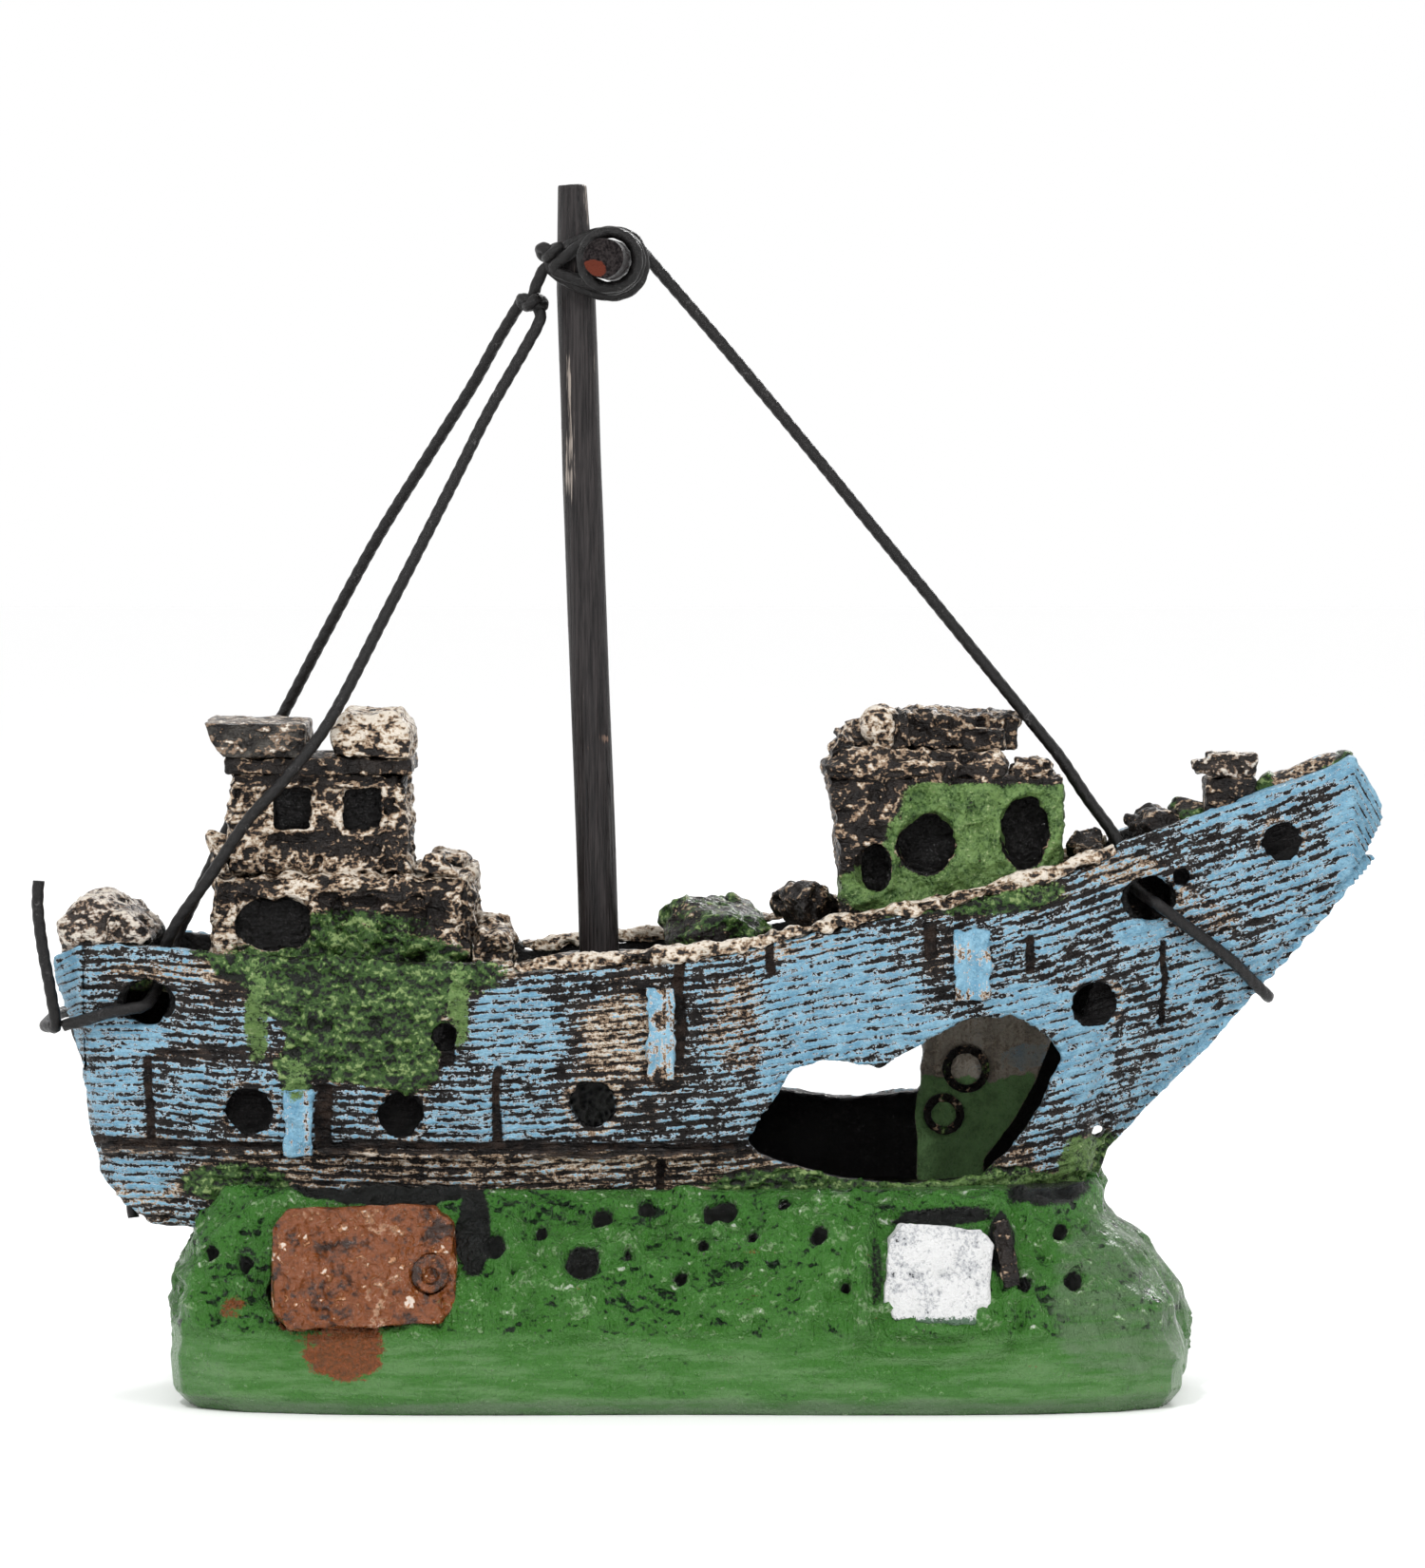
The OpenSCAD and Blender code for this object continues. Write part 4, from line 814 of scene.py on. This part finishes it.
# Each other casting: its piece, how fine its mesh is, how its surface goes, and its node if that has
# another name
UPPER_WORKS = [
    ("wheelhouse_eaves", 0.2, rubble(79, 0.4, 0.34), "wheelhouse_eave"),
    ("fore_roof_slab", 0.22, rubble(87, 0.6, 0.72), "roof_slab_fore"),
    ("corner_post", 0.15, rubble(91, 0.4, 0.8)),
    ("broken_bulwark", 0.16, rubble(95, 0.6, 0.62, 1.8)),
    ("aft_rubble", 0.18, rubble(99, 0.7, 0.62, 2.2)),
    ("starboard_gunwale", 0.2, rubble(107, 0.9, 0.74, 2.4), "gunwale_starboard"),
    ("port_gunwale", 0.2, rubble(108, 0.9, 0.74, 2.4), "gunwale_port"),
    ("fore_cabin_roof", 0.2, rubble(115, 0.9, 0.42)),
    ("roof_planks", 0.18, rubble(119, 0.8, 0.42, 2.4)),
    ("roof_rubble", 0.16, rubble(123, 0.8, 0.5, 2.2)),
    ("skull", 0.1, rubble(127, 0.1, 0.86, 1.2)),
    ("corner_stub", 0.16, rubble(131, 0.6, 0.62, 1.8)),
]
for piece, voxel, carve, *node in UPPER_WORKS:
    cast(piece, *(node or [piece]), voxel, carve, cabin_finish, "cabin_resin")

# ---- The decks and what lies on them ----
# The decks are the same casting, nearly black, with weed-covered boulders and splintered timber on them.

for seed, deck in ((137, "aft"), (138, "main"), (139, "fore")):
    planks = rubble(seed, 0.35, 0.42, moss=dabs(seed - 2, 5, 0, 0.5))
    cast(deck + "_deck_planks", deck + "_deck", 0.35, planks, cabin_finish, "dark_resin")

DECK_WORKS = [
    ("stern_web", 0.2, rubble(140, 0.1, 0.0), "dark_resin"),
    ("bow_web", 0.2, rubble(142, 0.1, 0.0), "dark_resin"),
    ("deck_boulder", 0.22, rubble(143, 0.6, 0.3, 3, moss=dabs(141, 2.5, 0.42, 0.9)), "moss_resin"),
    ("bow_boulder", 0.16, rubble(147, 0.5, 0.4, moss=dabs(149, 2, 0.3, 0.9)), "moss_resin"),
    ("bow_moss", 0.14, rubble(151, 0.35, 0.5, blue=0.45, moss=dabs(153, 2, 0.2, 0.8)), "moss_resin"),
    ("deck_debris", 0.18, rubble(155, 0.9, 0.3, 2.2), "dark_resin"),
    ("bow_debris", 0.18, rubble(159, 0.8, 0.3, 2.0), "dark_resin"),
    ("bollard", 0.16, rubble(163, 0.3, 0.4, 1.6), "dark_resin", "bollard_base"),
    ("crate_bar", 0.14, rubble(171, 0.3, 0.2, 1.3), "dark_resin"),
    ("porthole_rings", 0.12, rubble(175, 0.1, 0.3, 1, moss=dabs(176, 1, 0.1, 0.45)), "moss_resin",
     "hold_rings"),
    ("mast_step", 0.25, rubble(179, 0.2, 0.35), "dark_resin"),
]
for piece, voxel, carve, slot, *node in DECK_WORKS:
    cast(piece, *(node or [piece]), voxel, carve, cabin_finish, slot)

# ---- The mast and the yard ----
# A bamboo skewer, stained black and glued into its step. The stain is thin on the grain's ridges, where
# the pale wood shows. A short dowel is lashed across it as a yard.


def carve_pole(p, n):
    high = rise(p[:, 2], 106, 109)
    knot = 0.62 * patch(p, -12.2, 63.4, 1.3, 1.2) * (0.7 + lumps(p, 1.1, 186))
    return (0.05 * lumps(p, [0.7, 0.7, 9], 181) + 0.06 * lumps(p, [1.4, 1.4, 16], 183),
            {"worn": 0.8 * lumps(p, [1, 1, 12], 185) + 0.7 * high, "bare": knot})


def stained_wood(name, stretch, bare, shine):
    made = Finish(name)
    fibre = made.noise(0.24, 3, 0.6, stretch=stretch, shift=3) - 0.5
    streak = made.noise(0.8, 3, 0.55, stretch=stretch, shift=7) - 0.5
    patchy = made.noise(5.0, 2, 0.5, shift=9) - 0.5
    stain = made.coat((fibre + 0.5).step(0.35, 0.7), srgb(24, 21, 22), srgb(58, 53, 53))
    pale = (fibre * 0.8 + streak * 1.1 + patchy * 0.5 + made.carried("worn") * 0.24).step(0.28, 0.38)
    stain = made.coat(pale * 0.85, stain, srgb(176, 164, 154))
    stain = made.coat((made.carried("bare") + fibre).step(0.4, 0.6), stain, bare)
    made.set(Base_Color=stain, Roughness=(fibre + 0.5).step(0.3, 0.7).ease(0.26, 0.46),
             Specular_IOR_Level=shine)
    made.bump(fibre * 1.2 + streak, 0.16)
    return made


def carve_yard(p, n):
    end = rise(-n[:, 1], 0.5, 0.9)
    return (0.07 * lumps(p, [1.2, 6, 1.2], 187) * (1 - end) - 0.1 * end * rise(lumps(p, 1.1, 188), 0, 0.5),
            {"worn": lumps(p, [1, 9, 1], 189) - 0.4, "bare": end * patch(p, -12.4, 109.3, 1.3, 0.9)})


mast_finish = stained_wood("stained skewer", (1, 1, 26), srgb(132, 108, 94), 0.22)
yard_finish = stained_wood("stained dowel", (1, 18, 1), srgb(104, 52, 40), 0.02)
cast("mast", "mast", 0.22, carve_pole, mast_finish, "mast_wood")
cast("yard", "yard", 0.15, carve_yard, yard_finish, "yard_wood", "yard")

# ---- The rigging ----
# All of it is one kind of black waxed cord, laid from three strands: a lashing round mast and yard, two
# backstays, a doubled forestay, and the ends knotted through the holes in the bow and the stern.

CORD_R = 0.6
CORD_SIDES = 18
LAY_PITCH = 4.2
TURN_POINTS = 60

cord_finish = Finish("waxed cord")
fuzz = cord_finish.noise(0.2, 3, 0.7, shift=3)
wax = cord_finish.noise(1.6, 2, 0.5, shift=6)
black_cord = cord_finish.coat(fuzz.step(0.3, 0.75), srgb(14, 13, 13), srgb(34, 32, 32))
black_cord = cord_finish.coat((wax * 0.6 + fuzz * 0.5).step(0.66, 0.8), black_cord, srgb(96, 94, 94))
cord_finish.set(Base_Color=black_cord, Roughness=wax.ease(0.2, 0.42), Specular_IOR_Level=0.22)
cord_finish.bump(fuzz, 0.1)


def smooth_route(route, step=0.3, closed=False):
    """Points a step apart on a smooth curve through the route."""
    pts = np.array(route, float)
    if closed:
        pts = np.vstack([pts[-1:], pts, pts[:2]])
    else:
        pts = np.vstack([2 * pts[0] - pts[1], pts, 2 * pts[-1] - pts[-2]])
    fine = []
    for a, b, c, d in zip(pts, pts[1:], pts[2:], pts[3:]):
        count = max(2, int(np.linalg.norm(c - b) / step))
        for t in np.arange(count) / count:
            curved = (2 * a - 5 * b + 4 * c - d) * t * t + (3 * b - a - 3 * c + d) * t ** 3
            fine.append(0.5 * (2 * b + (c - a) * t + curved))
    if not closed:
        fine.append(pts[-2])
    return np.array(fine)


def laid_cord(points, radius, closed):
    """Vertices and faces of a three-strand cord along the points."""
    count, sides = len(points), CORD_SIDES
    if closed:
        tangent = np.roll(points, -1, 0) - np.roll(points, 1, 0)
    else:
        tangent = np.gradient(points, axis=0)
    tangent /= np.linalg.norm(tangent, axis=1)[:, None]
    side = np.cross(tangent[0], [0.3, 0.9, 0.2])
    angle = np.linspace(0, 2 * math.pi, sides, endpoint=False)
    verts = []
    travelled = 0.0
    for i in range(count):
        side = side - tangent[i] * np.dot(side, tangent[i])
        side /= np.linalg.norm(side)
        other = np.cross(tangent[i], side)
        if i:
            travelled += np.linalg.norm(points[i] - points[i - 1])
        turn = 2 * math.pi * travelled / LAY_PITCH
        r = radius * (0.88 + 0.12 * np.abs(np.cos(1.5 * (angle - turn))))
        around = np.cos(angle)[:, None] * side + np.sin(angle)[:, None] * other
        verts += list(points[i] + r[:, None] * around)
    faces = []
    edges = [(k, (k + 1) % sides) for k in range(sides)]
    for i in range(count if closed else count - 1):
        a, b = i * sides, (i + 1) % count * sides
        faces += [[a + k, a + m, b + m, b + k] for k, m in edges]
    if not closed:
        for ring in (0, count - 1):
            verts.append(points[ring])
            tip, a = len(verts) - 1, ring * sides
            faces += [[tip, a + k, a + m] if ring else [a + m, a + k, tip] for k, m in edges]
    return verts, faces


def knot_route(centre, size):
    """An overhand knot pulled tight: a small trefoil."""
    t = np.linspace(0, 2 * math.pi, TURN_POINTS, endpoint=False)
    trefoil = np.stack([np.sin(t) + 2 * np.sin(2 * t), np.cos(t) - 2 * np.cos(2 * t), -np.sin(3 * t)], 1)
    return trefoil * size / 3 + np.array(centre)


def rigging(name, strands, nodes, body="wreck"):
    """A piece of rigging. Each strand is the points of its middle, its radius, and if it is closed."""
    verts, faces = [], []
    for points, radius, closed in strands:
        v, f = laid_cord(points, radius, closed)
        faces += [[len(verts) + i for i in face] for face in f]
        verts += v
    mesh = bpy.data.meshes.new(name)
    mesh.from_pydata([tuple(np.array(v) * MM) for v in verts], [], faces)
    mesh.update()
    return new_piece(name, mesh, cord_finish, nodes, body)


HALF_FORESTAY = [[-7.8, -2.5, 111.2], [-6.3, -0.8, 109.5], [0, -0.8, 102.2], [8, -1, 92.6],
                 [16, -1.2, 82.8], [24, -1.4, 73], [31, -2, 64.4], [33, -2.5, 61.9], [35.6, -3.6, 58],
                 [38.2, -4.9, 54.4], [39.1, -5.6, 52], [39.8, -6.6, 49.9], [40.9, -8.4, 48.9],
                 [42, -10.2, 48.2], [43.2, -10, 47.3], [46.2, -7.9, 45], [49.4, -5.3, 42.5],
                 [51.6, -2.9, 40.3], [53, -1.2, 38.9], [53.3, 0, 38.6]]
# Each backstay goes down through a hole by the stern and out round its corner, port side given
STERN_HOLE = [[-53.8, 10.9, 43.6], [-54.2, 10.6, 41.2], [-54.7, 12.3, 39.6], [-55.4, 14.4, 38.7]]
STERN_CORNER = [[-56.8, 14.8, 38.4], [-58.8, 14.1, 38], [-61.2, 12.7, 37.2], [-63.4, 11.9, 36.6]]


def mirrored(route):
    return [[x, -y, z] for x, y, z in route]


BACKSTAY_STARBOARD = [[-15.8, -2.2, 110.2], [-16.9, -1.7, 109.7], [-17.6, -1.6, 108.8],
                      [-18.3, -1.4, 106.6], [-17.6, -1.7, 104.8], [-19, -2, 101.9], [-22.6, -3.1, 95.6],
                      [-26, -4.8, 88.8], [-32, -7.8, 77], [-37.6, -10.6, 66.2], [-41.8, -11.9, 60.6],
                      [-45.6, -12.4, 56.4], [-49.4, -12.5, 50.8], [-52.4, -11.7, 46.6]]
BACKSTAY_STARBOARD += mirrored(STERN_HOLE + STERN_CORNER)
BACKSTAY_PORT = [[-19.3, 0.3, 106.8], [-19.7, 0.6, 106], [-21.9, 2, 102.4], [-24.4, 3.4, 98],
                 [-28.6, 5.6, 91.4], [-34, 8.2, 82.8], [-39.6, 10.4, 72.6], [-43.2, 11.6, 65.8],
                 [-46, 12.2, 60.8], [-48.6, 12.5, 54.8], [-50.6, 12.6, 50.4], [-52.6, 11.5, 46.2]]
BACKSTAY_PORT += STERN_HOLE
SLING = [[-64.7, -10.6, 36.4], [-65.4, -8.4, 36.3], [-65.5, -4.5, 36.3], [-65.5, 0, 36.3],
         [-65.5, 4.5, 36.3], [-65.4, 8.4, 36.3], [-64.7, 10.6, 36.4]]
TAIL_UPPER = [[-64.2, -12.1, 37.8], [-64.7, -12.6, 40.4], [-65.2, -12.9, 43.2], [-65.6, -13.1, 46],
              [-65.8, -13.2, 48.4], [-65.7, -13.2, 50.6]]
TAIL_LOWER = [[-63.9, 12.2, 35.2], [-62.8, 12.3, 32], [-61.4, 12.2, 28], [-60, 11.8, 24],
              [-58.8, 11.4, 20.2], [-58.3, 11.2, 17.6], [-58.1, 11.1, 16]]
OUTER_TURN = [[-16.6, -2.3, 109.6], [-15.9, -2.6, 110.9], [-14.4, -2.8, 111.9], [-12.4, -3.2, 112.75],
              [-10.4, -3.6, 113], [-8.6, -3.8, 112.4], [-7.75, -3.8, 110.9], [-7.6, -3.8, 109.3],
              [-8.4, -3.7, 107.7], [-10, -3.5, 106.9], [-11.9, -3.3, 107], [-13.6, -2.9, 107.6],
              [-15.4, -2.7, 108.5]]
INNER_TURN = [[-16.2, -3.8, 109.4], [-15, -4.3, 110.7], [-13.4, -4.7, 111.9], [-11.8, -5, 112.75],
              [-10.2, -5.2, 112.9], [-8.8, -5.3, 112.2], [-8, -5.3, 110.9], [-8, -5.3, 109.5],
              [-8.8, -5.2, 108.2], [-10.3, -5, 107.45], [-12, -4.7, 107.75], [-14, -4.2, 108.4]]


def yard_coil(y, radius):
    """One tight turn of cord round the yard, y along it. The yard lies a little askew."""
    turn = np.linspace(0, 2 * math.pi, TURN_POINTS, endpoint=False)
    middle_x, middle_z = -10.35 + 0.07 * y, 110.2 - 0.01 * y
    return np.stack([middle_x + radius * np.cos(turn), np.full(TURN_POINTS, y),
                     middle_z + radius * np.sin(turn)], 1)


whole_forestay = HALF_FORESTAY + mirrored(HALF_FORESTAY[-2:0:-1])
rigging("forestay", [(smooth_route(whole_forestay), CORD_R, False)], ["forestay"])
rigging("starboard_backstay", [(smooth_route(BACKSTAY_STARBOARD), CORD_R, False),
                               (knot_route([-18.4, -1.4, 106.2], 1.2), 0.55, True)], ["backstay_starboard"])
rigging("port_backstay", [(smooth_route(BACKSTAY_PORT), CORD_R, False)], ["backstay_port"])
rigging("inner_lashing", [(smooth_route(INNER_TURN, closed=True), CORD_R, True),
                          (yard_coil(-6.8, 2.66), CORD_R, True)], ["lashing_inner"])
rigging("outer_lashing", [(smooth_route(OUTER_TURN, closed=True), CORD_R, True),
                          (knot_route([-16.3, -1.9, 111], 1.4), 0.6, True)], ["lashing_outer"])

stern_points = smooth_route(SLING[::-1] + [[-64.2, -11.7, 36.7]] + TAIL_UPPER[1:])
stern_cord = rigging("stern_cord", [(stern_points, CORD_R, False)], ["stern_sling", "stern_tail_upper"])
lower_points = smooth_route(STERN_HOLE[-1:] + STERN_CORNER + TAIL_LOWER)
lower_cord = rigging("lower_tail", [(lower_points, CORD_R, False)], ["stern_tail_lower"])


# ---- The air line ----
# White plastic fittings, pushed and glued together, feed a grey stone of sintered grit in the hold.

plastic = Finish("air fitting plastic")
mould = plastic.noise(0.5, 3, 0.6, shift=2)
plastic.set(Base_Color=plastic.coat(mould.step(0.3, 0.8), srgb(206, 208, 202), srgb(232, 233, 228)),
            Roughness=mould.ease(0.25, 0.4))
plastic.bump(mould, 0.06)
for node, name in (("air_inlet", "hose_spigot"), ("air_riser", "riser_pipe")):
    cast(name, node, 0.16, lambda p, n: (0.03 * lumps(p, 1.5, 191), {}), plastic, "air_plastic")

grit = Finish("air stone grit")
grains = grit.cells(0.7, shift=3)
dust = grit.noise(0.3, 3, 0.7, shift=5)
grit.set(Base_Color=grit.coat((grains + dust * 0.4).step(0.2, 0.9), srgb(96, 98, 100), srgb(184, 186, 184)),
         Roughness=dust.ease(0.75, 0.95))
grit.bump((1 - grains) * 0.7 + dust * 0.4, 0.5)
cast("air_stone", "air_stone", 0.2, lambda p, n: (0.12 * crags(p, 0.9, 193), {}), grit,
     "air_stone", "stone")
